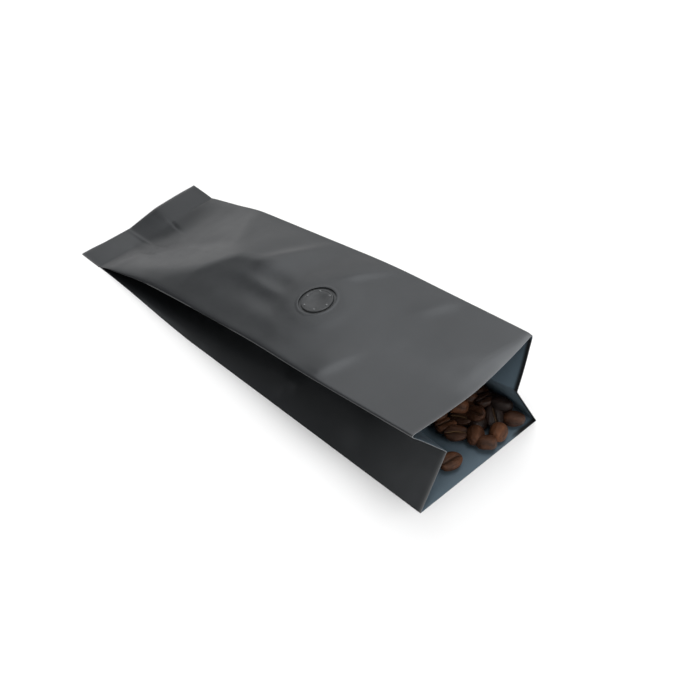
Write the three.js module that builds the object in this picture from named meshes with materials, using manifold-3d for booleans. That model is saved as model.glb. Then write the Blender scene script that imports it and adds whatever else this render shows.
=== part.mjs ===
// Coffee bag with a one-way valve: a side-gusset film bag that lies on its back, open at the mouth, with
// roasted beans in it. Millimetres, +Z up, +X towards the mouth. The origin is on the floor, in the middle of
// the footprint.

import * as THREE from "three";
import { mergeVertices } from "three/addons/utils/BufferGeometryUtils.js";
import Module from "manifold-3d";

// Driving dimensions of the bag as it lies.
const panelWidth = 80; // front and back panels, from fold to fold
const gussetLeaf = 30; // each of the two leaves of a side gusset
const lyingLength = 257; // from the edge of the bottom seal to the back panel's edge at the mouth
const sealBand = 16; // length of the flat bottom seal
const sealThickness = 0.9; // four layers of film pressed together
const film = 0.5; // wall of the solid
const cavityStart = 20; // from the seal band to where the layers part far enough to leave a hollow

// How the bag stands open. Each fold of the front panel rises in three straight stretches, to its shoulder, its
// waist and the mouth: a place along the bag and a height for each bend. Its gusset's leaves bow at the mouth.
const nearFold = { shoulder: [-84, 9.4], waist: [-10, 23.6], mouthHeight: 45.5, leafBow: 0 }; // the -Y fold
const farFold = { shoulder: [-69.5, 18.5], waist: [38.5, 40.5], mouthHeight: 51, leafBow: 0.06 }; // the +Y fold
const foldBlend = 2; // height over which each bend is rounded
const mouthSag = 4.7; // dip of the front panel's edge between the folds
const sagStart = 10; // where the dip starts, from here to the mouth
const sagPower = 1.4; // how late it deepens
const mouthLean = 7.6; // how far the front panel's edge stands back from the back panel's edge
const sealCurl = 4.3; // how far the seal's +Y corner stands off the floor
const curlReach = 60; // how far from the seal's edge the back panel lies flat again
const curlMiddle = 1.5; // where the seal turns up
const curlHalfWidth = 12.5; // half of the width over which it turns up
const curlStep = 0.74; // share of the rise that this turn takes
const creaseLowered = 0.3; // how far the gussets' creases lie below the middle at the seal
const creaseLevelX = -70; // where they are level with it

// The front panel's swelling between the seal and the valve: a flat face that rises from a toe by the seal to an
// apex, and behind it a roof with a crest that runs on to the valve, off the middle.
const toe = [-99.5, 3]; // place along the bag and height
const toeBlend = 4;
const faceDrape = 1.35; // how the face bends from its middle to the folds
const apexX = -40.5;
const crestHeight = 5.8; // of the apex above the straight line between the folds
const crestArc = { x: -8, y: 6.3, rise: 6.8, fall: 4, fallEnd: 20 }; // line of the crest, seen from above
const crestDrop = { share: 0.62, end: 8 }; // how much of its height the crest has lost, and where
const crestEnd = 110;
const crestBlend = 0.2;
const hipBlend = 0.9; // rounding between the face and the roof
const nearHollow = 1.25; // how hollow the roof is towards the -Y fold

// Soft buckles of the front panel: middle, heading from +X, half length, half width and height of each ridge.
const buckles = [
  { x: 4, y: -27, heading: 2, length: 20, width: 6, height: 0.6 }, // along the -Y fold
  { x: -17, y: 24, heading: 50, length: 17, width: 6, height: 0.9 }, // towards the +Y fold
  { x: 39, y: 24, heading: 48, length: 15, width: 5.5, height: 1.1 }, // from the valve to the +Y fold
  { x: 66, y: -26, heading: 75, length: 14, width: 6, height: 0.9 }, // in from the -Y fold
  { x: 109, y: 20, heading: 90, length: 16, width: 14, height: 1.6 }, // before the mouth's drooping edge
];

// One-way valve in the front panel.
const valveX = 26;
const valveY = -0.9;
const valveRadius = 9.6; // of the hole in the film, which shows as a groove round the valve
const valveFaceRadius = 8.2;
const valveFlangeRadius = 11.8; // welded to the inside of the film
const valveFlangeThickness = 1.6;
const valveGap = 0.35; // between the flange and the film
const valveFaceProud = 0.25; // how far the face stands above the film
const valveFlatRadius = 13; // the film lies flat on the valve to here
const valveFlatFade = 9; // and joins the panel's own form over this width
const pipCount = 6;
const pipCircleRadius = 6.6;
const pipRadius = 0.75;

// Roasted beans: middle, turn about Z, lean of the flat side and, where an end is raised, its pitch. A lean of 0
// has the creased flat side up.
const beanLength = 11.4;
const beanWidth = 8.6;
const beanThickness = 6;
const beanFloor = film + 0.4; // what the beans rest on, just clear of the back panel
const beansSeen = [
  { x: 116.6, y: 9.4, z: 4.1, turn: 134, lean: 176 },
  { x: 123, y: 18.3, z: 4, turn: 118, lean: 186 },
  { x: 123.4, y: 9.4, z: 4, turn: 46, lean: 172 },
  { x: 122.4, y: 29.8, z: 4.3, turn: 44, lean: 200 },
  { x: 115.9, y: 23.2, z: 6.4, turn: 140, lean: 4, pitch: -24 },
  { x: 109.8, y: 16.4, z: 8.6, turn: 12, lean: 18, pitch: -14 },
  { x: 109.6, y: 3.6, z: 4.8, turn: 44, lean: 22 },
  { x: 102.4, y: 4.6, z: 4.8, turn: 70, lean: -14 },
  { x: 105.6, y: 11.2, z: 6.2, turn: 20, lean: 12, pitch: -8 },
  { x: 100.6, y: 14, z: 8.2, turn: 40, lean: 165 },
  { x: 95.5, y: 6, z: 4.6, turn: 80, lean: 175 },
  { x: 114.2, y: 29.6, z: 8.2, turn: 30, lean: 195 },
  { x: 107.4, y: 26.6, z: 9, turn: 75, lean: -15 },
];
const loneBean = { x: 119.6, y: -11, z: 4.8, turn: 74, lean: 10 };
// The heap runs back under the front panel in rows that step down to the floor.
const backRows = [
  { x: 99, ys: [21.5, 29.5], z: 5.4 },
  { x: 91, ys: [10, 19, 27], z: 4.8 },
  { x: 82, ys: [12, 21.5], z: 4.4 },
];
const heapCore = { x: 105, y: 18, halfLength: 21, halfWidth: 13, height: 6.2 };

// How finely the film is divided.
const stations = 40;
const panelSteps = 16;

const wasm = await Module();
wasm.setup();

const { clamp, degToRad, lerp, smoothstep } = THREE.MathUtils;
const sealX = -lyingLength / 2;
const bandX = sealX + sealBand;
const mouthX = lyingLength / 2;
const halfWidth = panelWidth / 2;

// Share of the way from the seal band to the mouth.
const openShare = (x) => clamp((x - bandX) / (mouthX - bandX), 0, 1);

// Height of the back panel: flat on the floor, and lifted at one half of the seal.
function backHeight(x, y) {
  const start = curlMiddle - curlHalfWidth;
  const turned = smoothstep(y, start, curlMiddle + curlHalfWidth);
  const straight = clamp((y - start) / (halfWidth - start), 0, 1);
  const alongShare = 1 - smoothstep(x, sealX, sealX + curlReach);
  return sealCurl * lerp(straight, turned, curlStep) * alongShare;
}

// The lower and the higher of two heights, rounded where they meet.
function softMin(a, b, blend) {
  const share = clamp(0.5 + (b - a) / (2 * blend), 0, 1);
  return lerp(b, a, share) - blend * share * (1 - share);
}
const softMax = (a, b, blend) => -softMin(-a, -b, blend);

// Height at x of the straight line through two points, each a place along the bag and a height.
const lineThrough = (x, [x0, z0], [x1, z1]) => z0 + ((z1 - z0) * (x - x0)) / (x1 - x0);

// Height of a fold of the front panel.
function foldHeight(x, y, { shoulder, waist, mouthHeight }) {
  const at = Math.max(x, bandX);
  const rise = lineThrough(at, [bandX, sealThickness], shoulder);
  const middle = lineThrough(at, shoulder, waist);
  const front = lineThrough(at, waist, [mouthX, mouthHeight]);
  return backHeight(x, y) + softMin(softMin(rise, middle, foldBlend), front, foldBlend);
}

// Height of the straight line across the bag from fold to fold, less the dip towards the mouth.
function chordHeight(x, y) {
  const near = foldHeight(x, -halfWidth, nearFold);
  const far = foldHeight(x, halfWidth, farFold);
  const tentShare = 1 - clamp(Math.abs(y) / halfWidth, 0, 1) ** (y < 0 ? 1.35 : 1.8);
  const dip = mouthSag * tentShare * clamp((x - sagStart) / (mouthX - sagStart), 0, 1) ** sagPower;
  return lerp(near, far, (y + halfWidth) / panelWidth) - dip;
}

// Height of the roof behind the apex.
function roofHeight(x, y) {
  const before = clamp((x - crestArc.x) / (apexX - crestArc.x), 0, 1.3);
  const after = smoothstep(x, crestArc.x, crestArc.fallEnd);
  const crestY = crestArc.y - crestArc.rise * before ** 2 - crestArc.fall * after;
  const fromNear = (Math.max(y + halfWidth, 0) / (crestY + halfWidth)) ** nearHollow;
  const fromFar = (halfWidth - y) / (halfWidth - crestY);
  const lost =
    crestDrop.share * smoothstep(x, apexX, crestDrop.end) +
    (1 - crestDrop.share) * smoothstep(x, crestDrop.end, crestEnd);
  return chordHeight(x, y) + crestHeight * softMin(fromNear, fromFar, crestBlend) * (1 - lost);
}

// Height of the face between the seal and the apex.
function faceHeight(x, y) {
  const apex = [apexX, roofHeight(apexX, crestArc.y - crestArc.rise)];
  const middle = softMax(backHeight(x, y) + sealThickness, lineThrough(x, toe, apex), toeBlend);
  const { shoulder } = y < 0 ? nearFold : farFold;
  const fold = lineThrough(Math.max(x, bandX), [bandX, sealThickness], shoulder);
  const side = fold + backHeight(x, Math.sign(y) * halfWidth);
  return lerp(middle, side, clamp(Math.abs(y) / halfWidth, 0, 1) ** faceDrape);
}

// Height of one buckle at a point of the front panel.
function buckleHeight({ x: middleX, y: middleY, heading, length, width, height }, x, y) {
  const turn = degToRad(heading);
  const along = (x - middleX) * Math.cos(turn) + (y - middleY) * Math.sin(turn);
  const across = (y - middleY) * Math.cos(turn) - (x - middleX) * Math.sin(turn);
  return height * Math.exp(-((along / length) ** 2) - (across / width) ** 2);
}

// Height of the front panel without its valve: the face, the roof and the buckles, and at the edges the folds.
function slackHeight(x, y) {
  const edgeShare = clamp(Math.abs(y) / halfWidth, 0, 1);
  const swollen = softMin(faceHeight(x, y), roofHeight(x, y), hipBlend);
  const relief = buckles.reduce((sum, buckle) => sum + buckleHeight(buckle, x, y), 0);
  return lerp(swollen, chordHeight(x, y), edgeShare ** 8) + relief * Math.min(1, 4 * (1 - edgeShare));
}

// The plane that the valve lies in.
const valveZ = slackHeight(valveX, valveY);
const slopeStep = valveFlatRadius;
const valveSlopeX =
  (slackHeight(valveX + slopeStep, valveY) - slackHeight(valveX - slopeStep, valveY)) / (2 * slopeStep);
const valveSlopeY =
  (slackHeight(valveX, valveY + slopeStep) - slackHeight(valveX, valveY - slopeStep)) / (2 * slopeStep);

// Height of the front panel, flat where it lies on the valve.
function frontHeight(x, y) {
  const plane = valveZ + valveSlopeX * (x - valveX) + valveSlopeY * (y - valveY);
  const distance = Math.hypot(x - valveX, y - valveY);
  const slackShare = smoothstep(distance, valveFlatRadius, valveFlatRadius + valveFlatFade);
  return lerp(plane, slackHeight(x, y), slackShare);
}

// The crease and the two corners of one gusset, moved in by the wall. side is -1 or 1. By the seal the crease
// lies nearer to the back panel.
function gussetCorners(x, side, wall) {
  const fold = side < 0 ? nearFold : farFold;
  const top = foldHeight(x, side * halfWidth, fold);
  const bottom = backHeight(x, side * halfWidth);
  const leaf = gussetLeaf * (1 - fold.leafBow * openShare(x) ** 2);
  const reach = Math.sqrt(leaf ** 2 - ((top - bottom) / 2) ** 2);
  const creaseY = side * (halfWidth - reach);
  const lowered = creaseLowered * (1 - smoothstep(x, bandX, creaseLevelX));
  const creaseZ = backHeight(x, creaseY) + (top - bottom) * (0.5 - lowered);
  if (!wall) return { backY: side * halfWidth, frontY: side * halfWidth, creaseY, creaseZ };
  const lower = Math.atan2(creaseZ - bottom, reach);
  const upper = Math.atan2(top - creaseZ, reach);
  const creaseInset = (wall * Math.cos((lower - upper) / 2)) / Math.sin((lower + upper) / 2);
  return {
    backY: side * (halfWidth - wall / Math.tan(lower / 2)),
    frontY: side * (halfWidth - wall / Math.tan(upper / 2)),
    creaseY: creaseY - side * creaseInset,
    creaseZ: creaseZ + (wall - creaseInset * Math.sin(upper)) / Math.cos(upper),
  };
}

// A point of the film. Towards the mouth the higher points stand back, because the front panel slopes.
function filmPoint(x, y, z) {
  const t = openShare(x);
  const highest = sealThickness + ((nearFold.mouthHeight + farFold.mouthHeight) / 2) * t;
  return new THREE.Vector3(x - (mouthLean * t * z) / highest, y, z);
}

// One ring of film points at a station, counter-clockwise seen from the mouth: the back panel, the +Y crease,
// the front panel and the -Y crease. In a sealed ring the gussets are shut.
function filmRing(x, wall, sealed = false) {
  const near = gussetCorners(x, -1, wall);
  const far = gussetCorners(x, 1, wall);
  if (sealed) {
    near.creaseY = -halfWidth - sealThickness / 4;
    far.creaseY = halfWidth + sealThickness / 4;
  }
  const back = [];
  const front = [];
  for (let i = 0; i <= panelSteps; i += 1) {
    const backY = lerp(near.backY, far.backY, i / panelSteps);
    const frontY = lerp(near.frontY, far.frontY, i / panelSteps);
    back.push(filmPoint(x, backY, backHeight(x, backY) + wall));
    front.unshift(filmPoint(x, frontY, frontHeight(x, frontY) - wall));
  }
  return [
    ...back,
    filmPoint(x, far.creaseY, far.creaseZ),
    ...front,
    filmPoint(x, near.creaseY, near.creaseZ),
  ];
}

// A closed mesh from rows of triangles, with its shared points merged.
function closedGeometry(triangles) {
  const positions = triangles.flatMap((corners) => corners.flatMap((p) => [p.x, p.y, p.z]));
  const geometry = new THREE.BufferGeometry();
  geometry.setAttribute("position", new THREE.Float32BufferAttribute(positions, 3));
  return mergeVertices(geometry, 1e-4);
}

// The film: outer skin from the seal to the mouth, inner skin back to the start of the hollow, the rim between
// them at the mouth, the seal's edge and the end of the hollow.
function filmGeometry() {
  const shut = 0.6; // length over which the gussets shut at the seal band
  const outer = [filmRing(sealX, 0, true), filmRing(bandX - shut, 0, true)];
  const inner = [];
  for (let i = 0; i <= stations; i += 1) {
    outer.push(filmRing(lerp(bandX, mouthX, i / stations), 0));
    inner.push(filmRing(lerp(bandX + cavityStart, mouthX, i / stations), film));
  }
  const triangles = [];
  const quad = (a, b, c, d) => triangles.push([a, b, c], [a, c, d]);
  const count = outer[0].length;
  const hollowEnd = inner[0][panelSteps + 1].clone().lerp(inner[0][count - 1], 0.5);
  for (let j = 0; j < count; j += 1) {
    const k = (j + 1) % count;
    for (let i = 0; i + 1 < outer.length; i += 1) {
      quad(outer[i][j], outer[i][k], outer[i + 1][k], outer[i + 1][j]);
    }
    for (let i = 0; i < stations; i += 1) {
      quad(inner[i][k], inner[i][j], inner[i + 1][j], inner[i + 1][k]);
    }
    quad(outer.at(-1)[j], outer.at(-1)[k], inner.at(-1)[k], inner.at(-1)[j]);
    triangles.push([hollowEnd, inner[0][j], inner[0][k]]);
  }
  const edge = outer[0];
  const topOf = (i) => count - 2 - i;
  for (let i = 0; i < panelSteps; i += 1) {
    quad(edge[i], edge[topOf(i)], edge[topOf(i + 1)], edge[i + 1]);
  }
  triangles.push([edge[count - 1], edge[topOf(0)], edge[0]]);
  triangles.push([edge[panelSteps + 1], edge[panelSteps], edge[topOf(panelSteps)]]);
  return closedGeometry(triangles);
}

// A geometry as a solid for joining and cutting, and back.
function solidOf(geometry) {
  const bare = geometry.clone();
  bare.deleteAttribute("normal");
  bare.deleteAttribute("uv");
  const merged = mergeVertices(bare, 1e-4);
  return new wasm.Manifold(
    new wasm.Mesh({
      numProp: 3,
      vertProperties: merged.attributes.position.array,
      triVerts: new Uint32Array(merged.index.array),
    }),
  );
}
function geometryOf(solid) {
  const { vertProperties, triVerts } = solid.getMesh();
  const geometry = new THREE.BufferGeometry();
  geometry.setAttribute("position", new THREE.Float32BufferAttribute(vertProperties, 3));
  geometry.setIndex(new THREE.Uint32BufferAttribute(triVerts, 1));
  geometry.computeVertexNormals();
  return geometry;
}

// Where the valve stands: its middle on the film's outer face, +Z out of the bag.
const valvePlace = new THREE.Object3D();
function placeValve() {
  const onFilm = (dx, dy) => filmPoint(valveX + dx, valveY + dy, frontHeight(valveX + dx, valveY + dy));
  const reach = valveFaceRadius;
  const along = onFilm(reach, 0).sub(onFilm(-reach, 0));
  const across = onFilm(0, reach).sub(onFilm(0, -reach));
  const outward = along.cross(across).normalize();
  valvePlace.position.copy(onFilm(0, 0));
  valvePlace.quaternion.setFromUnitVectors(new THREE.Vector3(0, 0, 1), outward);
  valvePlace.updateMatrix();
}
placeValve();

// The film with the round hole that the valve shows through.
function bagGeometry() {
  const drillLength = 8;
  const drill = new THREE.CylinderGeometry(valveRadius, valveRadius, drillLength, 40);
  drill.rotateX(Math.PI / 2).applyMatrix4(valvePlace.matrix);
  return geometryOf(solidOf(filmGeometry()).subtract(solidOf(drill)));
}

// The valve: a flange under the film, a flat face in the hole, and a ring of pips.
function valveGeometry() {
  const flangeTop = -film - valveGap;
  const edge = 0.3; // rounding of the face's edge
  const profile = [
    [0, flangeTop - valveFlangeThickness],
    [valveFlangeRadius, flangeTop - valveFlangeThickness],
    [valveFlangeRadius, flangeTop],
    [valveFaceRadius, flangeTop],
    [valveFaceRadius, valveFaceProud - edge],
    [valveFaceRadius - edge, valveFaceProud],
    [0, valveFaceProud],
  ].map(([r, z]) => new THREE.Vector2(r, z));
  let solid = solidOf(new THREE.LatheGeometry(profile, 36).rotateX(Math.PI / 2));
  for (let i = 0; i < pipCount; i += 1) {
    const angle = (2 * Math.PI * i) / pipCount;
    const pip = new THREE.SphereGeometry(pipRadius, 8, 6);
    pip.translate(pipCircleRadius * Math.cos(angle), pipCircleRadius * Math.sin(angle), valveFaceProud);
    solid = solid.add(solidOf(pip));
  }
  return geometryOf(solid);
}

// One bean: an oval with a flat side and a crease along it.
function beanGeometry({ x, y, z, turn, lean, pitch = 0 }) {
  const flatDepth = 0.45; // of the flat side from the widest part, against 1 for the round side
  const creaseDepth = 0.3;
  const creaseWidth = 0.2;
  const bean = new THREE.SphereGeometry(1, 12, 6).rotateZ(Math.PI / 2);
  const points = bean.attributes.position;
  for (let i = 0; i < points.count; i += 1) {
    const [u, v, w] = [points.getX(i), points.getY(i), points.getZ(i)];
    const crease = creaseDepth * Math.exp(-((v / creaseWidth) ** 2)) * (1 - u * u);
    const depth = w > 0 ? flatDepth * Math.sqrt(w) - crease : w;
    const halfThickness = beanThickness / (1 + flatDepth);
    points.setXYZ(i, (u * beanLength) / 2, (v * beanWidth) / 2, depth * halfThickness);
  }
  bean.rotateX(degToRad(lean)).rotateY(degToRad(pitch)).rotateZ(degToRad(turn)).translate(x, y, z);
  return bean;
}

// The heap: a low core with the beans that show joined to it, cut level just clear of the back panel.
function heapGeometry() {
  const { x, y, halfLength, halfWidth: coreHalfWidth, height } = heapCore;
  const core = new THREE.SphereGeometry(1, 20, 12).scale(halfLength, coreHalfWidth, height);
  core.translate(x, y, beanFloor);
  const backBeans = backRows.flatMap((row, r) =>
    row.ys.map((rowY, i) => ({ x: row.x, y: rowY, z: row.z, turn: 50 * i + 35 * r, lean: 160 + 25 * i })),
  );
  let solid = solidOf(core);
  for (const bean of [...beansSeen, ...backBeans]) solid = solid.add(solidOf(beanGeometry(bean)));
  return geometryOf(cutLevel(solid));
}

// What is left of a solid above the level that the beans rest on.
function cutLevel(solid) {
  const side = 2 * lyingLength;
  const below = new THREE.BoxGeometry(side, side, side).translate(0, 0, beanFloor - side / 2);
  return solid.subtract(solidOf(below));
}

const matte = (color, roughness) => new THREE.MeshStandardMaterial({ color, roughness, metalness: 0 });
const filmMaterial = matte(0x3a3b3d, 0.5);
const valveMaterial = matte(0x414244, 0.42);
const beanMaterial = matte(0x5a3a26, 0.55);

const coffeeBag = new THREE.Group();
function addPiece(name, geometry, material) {
  const mesh = new THREE.Mesh(geometry, material);
  mesh.name = name;
  coffeeBag.add(mesh);
  return mesh;
}

addPiece("bag_film", bagGeometry(), filmMaterial);
const valve = addPiece("valve", valveGeometry(), valveMaterial);
valve.position.copy(valvePlace.position);
valve.quaternion.copy(valvePlace.quaternion);
addPiece("bean_heap", heapGeometry(), beanMaterial);
addPiece("lone_bean", geometryOf(cutLevel(solidOf(beanGeometry(loneBean)))), beanMaterial);

export default coffeeBag;
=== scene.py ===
"""Looks of an open side-gusset coffee bag: matte film, a one-way valve and roasted beans in its mouth."""

import logging
import math
from dataclasses import dataclass
from enum import Enum

import bmesh
import bpy
import numpy as np
from mathutils import Matrix, Vector

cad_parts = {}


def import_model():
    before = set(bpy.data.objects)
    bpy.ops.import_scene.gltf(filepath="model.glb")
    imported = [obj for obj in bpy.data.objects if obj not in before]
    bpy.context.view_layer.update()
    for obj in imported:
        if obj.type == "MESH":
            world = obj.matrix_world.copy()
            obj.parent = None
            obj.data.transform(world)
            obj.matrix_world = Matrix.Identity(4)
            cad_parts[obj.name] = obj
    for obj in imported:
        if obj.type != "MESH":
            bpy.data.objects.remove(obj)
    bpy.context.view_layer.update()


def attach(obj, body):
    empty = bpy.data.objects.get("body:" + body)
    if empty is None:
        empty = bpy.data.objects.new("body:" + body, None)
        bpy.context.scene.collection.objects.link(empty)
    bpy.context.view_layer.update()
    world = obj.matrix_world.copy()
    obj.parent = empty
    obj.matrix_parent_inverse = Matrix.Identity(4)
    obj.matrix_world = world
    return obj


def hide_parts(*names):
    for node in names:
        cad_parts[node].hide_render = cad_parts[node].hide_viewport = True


LOG = logging.getLogger("coffee_bag")
MM = 0.001
BODY = "root"
NOISE_SPAN = (0.3, 0.7)  # most of a noise's values lie in this part of its range
# Places of the sockets that a node's chosen data type uses, where it has a set of them for each type.
MIX_FIRST, MIX_SECOND, MIX_COLOUR = 6, 7, 2
RANDOM_LOW, RANDOM_HIGH, RANDOM_VALUE = 2, 3, 1

Colour = tuple[float, float, float]
Span = tuple[float, float]
Socket = bpy.types.NodeSocket


class BeanKind(Enum):
    """The three shapes that the beans are drawn from."""

    FULL = 0
    SLIM = 1
    ROUND = 2


# Length and width of each kind of bean, as shares of a full one's.
STRETCH = {BeanKind.FULL: (1.0, 1.0), BeanKind.SLIM: (1.05, 0.93), BeanKind.ROUND: (0.94, 1.03)}


class FilmSide(Enum):
    """The film's finishes, by their place in its mesh."""

    OUTSIDE = 0
    LINING = 1
    CUT_EDGE = 2


def smooth_step(value: np.ndarray, low: float, high: float) -> np.ndarray:
    """Ease from 0 at low to 1 at high.

    Args:
        value: Where to read the step.
        low: Where it leaves 0.
        high: Where it reaches 1.

    Returns:
        The step at each value.
    """
    share = np.clip((value - low) / (high - low), 0.0, 1.0)
    return share * share * (3.0 - 2.0 * share)


def soft_min(first: np.ndarray, second: np.ndarray, blend: float) -> np.ndarray:
    """The lower of two surfaces, rounded where they meet.

    Args:
        first: Heights of one surface.
        second: Heights of the other.
        blend: Difference of height over which the edge is rounded.

    Returns:
        The rounded minimum.
    """
    share = np.clip(0.5 + 0.5 * (second - first) / blend, 0.0, 1.0)
    return second + (first - second) * share - blend * share * (1.0 - share)


def soft_max(first: np.ndarray, second: np.ndarray, blend: float) -> np.ndarray:
    """The higher of two surfaces, rounded where they meet, as soft_min is."""
    return -soft_min(-first, -second, blend)


def line_through(x: np.ndarray, start: tuple[float, float], end: tuple[float, float]) -> np.ndarray:
    """Height of the straight line through two points, each a place along the bag and a height."""
    return start[1] + (end[1] - start[1]) * (x - start[0]) / (end[0] - start[0])


@dataclass(frozen=True)
class FoldLine:
    """One of the front panel's two long folds, in millimetres.

    Attributes:
        side: -1 for the fold at -Y and 1 for the one at +Y.
        shoulder: Place along the bag and height above the back where the steep rise from the seal ends.
        waist: Place along the bag and height above the back where the fold bends flatter.
        mouth_height: Height at the mouth.
        leaf_bow: Share by which the gusset's bowed leaves are shorter than flat ones at the mouth.
        pull: How far the swollen front panel draws the fold in.
        roll: How far from the fold the film starts to roll over.
        swell_roll: How much further that is where the bag is swollen.
        bow: How far the upper leaf bows out at the mouth.
    """

    side: int
    shoulder: tuple[float, float]
    waist: tuple[float, float]
    mouth_height: float
    leaf_bow: float
    pull: float
    roll: float
    swell_roll: float
    bow: float


@dataclass(frozen=True)
class Ridge:
    """A soft ridge, or with a negative height a hollow, in the front panel, in millimetres.

    Attributes:
        x: Middle along the bag.
        y: Middle across the bag.
        heading: Direction of its line from +X, in degrees.
        length: Half of its length.
        width: Half of its width.
        height: Height of its crest.
        lee: How wide its right flank is, seen along its heading, as a share of the left one.
    """

    x: float
    y: float
    heading: float
    length: float
    width: float
    height: float
    lee: float = 1.0

    def at(self, x: np.ndarray, y: np.ndarray) -> np.ndarray:
        """Height of the ridge at points of the panel.

        Args:
            x: Places along the bag.
            y: Places across the bag.

        Returns:
            The ridge's height at each point.
        """
        turn = math.radians(self.heading)
        along = (x - self.x) * math.cos(turn) + (y - self.y) * math.sin(turn)
        across = (y - self.y) * math.cos(turn) - (x - self.x) * math.sin(turn)
        width = np.where(across < 0.0, self.width * self.lee, self.width)
        return self.height * np.exp(-((along / self.length) ** 2) - (across / width) ** 2)


@dataclass(frozen=True)
class GussetSection:
    """Where one side gusset's three folds are at a station, in millimetres."""

    top_y: float
    bottom_y: float
    crease_y: float
    top_z: float
    crease_z: float
    bottom_z: float
    opening: float

    @property
    def top(self) -> np.ndarray:
        """The upper fold, as place across and height."""
        return np.array([self.top_y, self.top_z])

    @property
    def bottom(self) -> np.ndarray:
        """The lower fold, as place across and height."""
        return np.array([self.bottom_y, self.bottom_z])


@dataclass
class BagForm:
    """The bag's form as it lies on its back, in millimetres."""

    # Flat sizes, the seal, and how far behind it the inside starts and the folds' roll is full.
    film: float = 0.22
    panel_width: float = 80.0
    gusset_leaf: float = 30.0
    lying_length: float = 257.0
    seal_band: float = 16.0
    seal_thickness: float = 0.45
    cavity_start: float = 44.0
    roll_start: float = 8.0
    # The front panel's long folds, the gussets' creases, and the panel's dip towards the mouth.
    near: FoldLine = FoldLine(
        side=-1,
        shoulder=(-84.0, 8.6),
        waist=(-10.0, 23.6),
        mouth_height=45.5,
        leaf_bow=0.0,
        pull=0.4,
        roll=1.8,
        swell_roll=2.0,
        bow=0.0,
    )
    far: FoldLine = FoldLine(
        side=1,
        shoulder=(-69.5, 18.5),
        waist=(38.5, 40.5),
        mouth_height=50.9,
        leaf_bow=0.06,
        pull=0.3,
        roll=0.6,
        swell_roll=0.0,
        bow=1.2,
    )
    fold_blend: float = 2.0
    crease_lowered: float = 0.38
    mouth_sag: float = 4.7
    sag_start: float = 10.0
    sag_power: float = 1.4
    near_sag_power: float = 1.35
    far_sag_power: float = 1.8
    # How far higher film stands back at the mouth.
    mouth_lean: float = 7.6
    lean_height: float = 48.5
    # The seal's lifted half, and the dip in its cut end.
    seal_curl: float = 4.3
    curl_reach: float = 60.0
    curl_middle: float = 1.5
    curl_half_width: float = 12.5
    curl_step: float = 0.46
    seal_dip: float = 1.3
    dip_y: float = -16.0
    dip_width: float = 12.0
    # The swelling between the seal and the valve: its apex, the line of its crest and how that falls.
    crest_height: float = 5.8
    apex_x: float = -39.2
    crest_arc_x: float = -8.0
    crest_arc_y: float = 6.3
    crest_rise: float = 7.5
    crest_overrun: float = 1.3
    crest_fall: float = 4.0
    crest_fall_end: float = 20.0
    crest_round: float = 0.2
    near_hollow: float = 1.25
    crest_drop: float = 0.62
    crest_drop_end: float = 8.0
    crest_end: float = 110.0
    swell_grows: Span = (-104.0, -70.0)
    swell_falls: Span = (10.0, 70.0)
    # The face that rises from a toe by the seal to the apex.
    toe_x: float = -99.5
    toe_height: float = 3.0
    toe_round: float = 4.0
    hip_round: float = 0.9
    face_bulge: Ridge = Ridge(x=-76.0, y=-28.0, heading=24.0, length=18.0, width=8.0, height=0.3)
    bulge_fade: float = 4.0
    drape_power: float = 1.35
    # How the panel meets its folds: the swelling ends there, and so do the ridges.
    edge_power: int = 8
    ridge_fade: float = 8.0
    # How far the panel stands above its near fold, and how far the fold below that one bows out.
    puff: float = 1.3
    puff_reach: float = 3.0
    puff_ends_y: Span = (-30.0, 0.0)
    puff_ends_x: Span = (-60.0, 0.0)
    hem_bow: float = 2.5
    hem_start: float = -108.0
    hem_widest: float = -30.0
    hem_mouth_share: float = 0.2
    # The thinner strip of the seal, between its two gussets.
    step_depth: float = 0.26
    step_edge: float = 0.9
    step_fade: float = 5.0
    step_near_y: float = -8.5
    step_far_y: float = 11.0
    step_ends: Span = (6.0, 16.0)
    # The low swell before the mouth, from which the panel's edge droops.
    droop_slope: float = 0.285
    droop_start: float = 58.0
    droop_width: float = 7.8
    droop_far_width: float = 2.3
    droop_narrows_y: float = 14.0
    droop_grows_y: Span = (-12.0, 15.0)
    droop_power: float = 1.25
    # The flat round the valve, and the lip of its hole.
    valve_x: float = 26.0
    valve_y: float = -0.9
    valve_flat_radius: float = 11.0
    valve_flat_fade: float = 13.0
    valve_level_reach: float = 9.3
    lip_height: float = 0.2
    lip_radius: float = 10.2
    lip_width: float = 0.45
    # Soft creases of the front panel, and of the near gusset's lower leaf.
    ridges: tuple[Ridge, ...] = (
        Ridge(x=-3.5, y=-8.2, heading=0.0, length=23.0, width=4.2, height=0.6),
        Ridge(x=5.0, y=-24.0, heading=2.0, length=24.0, width=7.0, height=0.6),
        Ridge(x=-13.4, y=15.8, heading=58.0, length=20.0, width=5.8, height=1.3, lee=1.6),
        Ridge(x=29.5, y=25.0, heading=46.0, length=18.0, width=13.0, height=1.2, lee=0.36),
        Ridge(x=64.5, y=-26.0, heading=74.0, length=14.0, width=11.0, height=0.95, lee=0.45),
        Ridge(x=78.0, y=30.0, heading=55.0, length=12.0, width=8.0, height=0.6, lee=0.6),
        Ridge(x=-70.0, y=4.5, heading=12.0, length=18.0, width=6.0, height=-0.4),
        Ridge(x=-111.0, y=-8.6, heading=1.0, length=13.0, width=0.9, height=0.25),
        Ridge(x=-107.0, y=9.5, heading=-9.0, length=8.0, width=0.9, height=-0.25),
        Ridge(x=-102.0, y=-15.5, heading=4.0, length=9.0, width=3.0, height=-0.4),
    )
    leaf_ridges: tuple[Ridge, ...] = (
        Ridge(x=31.0, y=11.0, heading=86.0, length=11.0, width=13.0, height=2.2, lee=0.4),
        Ridge(x=78.0, y=16.0, heading=75.0, length=11.0, width=15.0, height=0.9, lee=0.6),
    )

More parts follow.
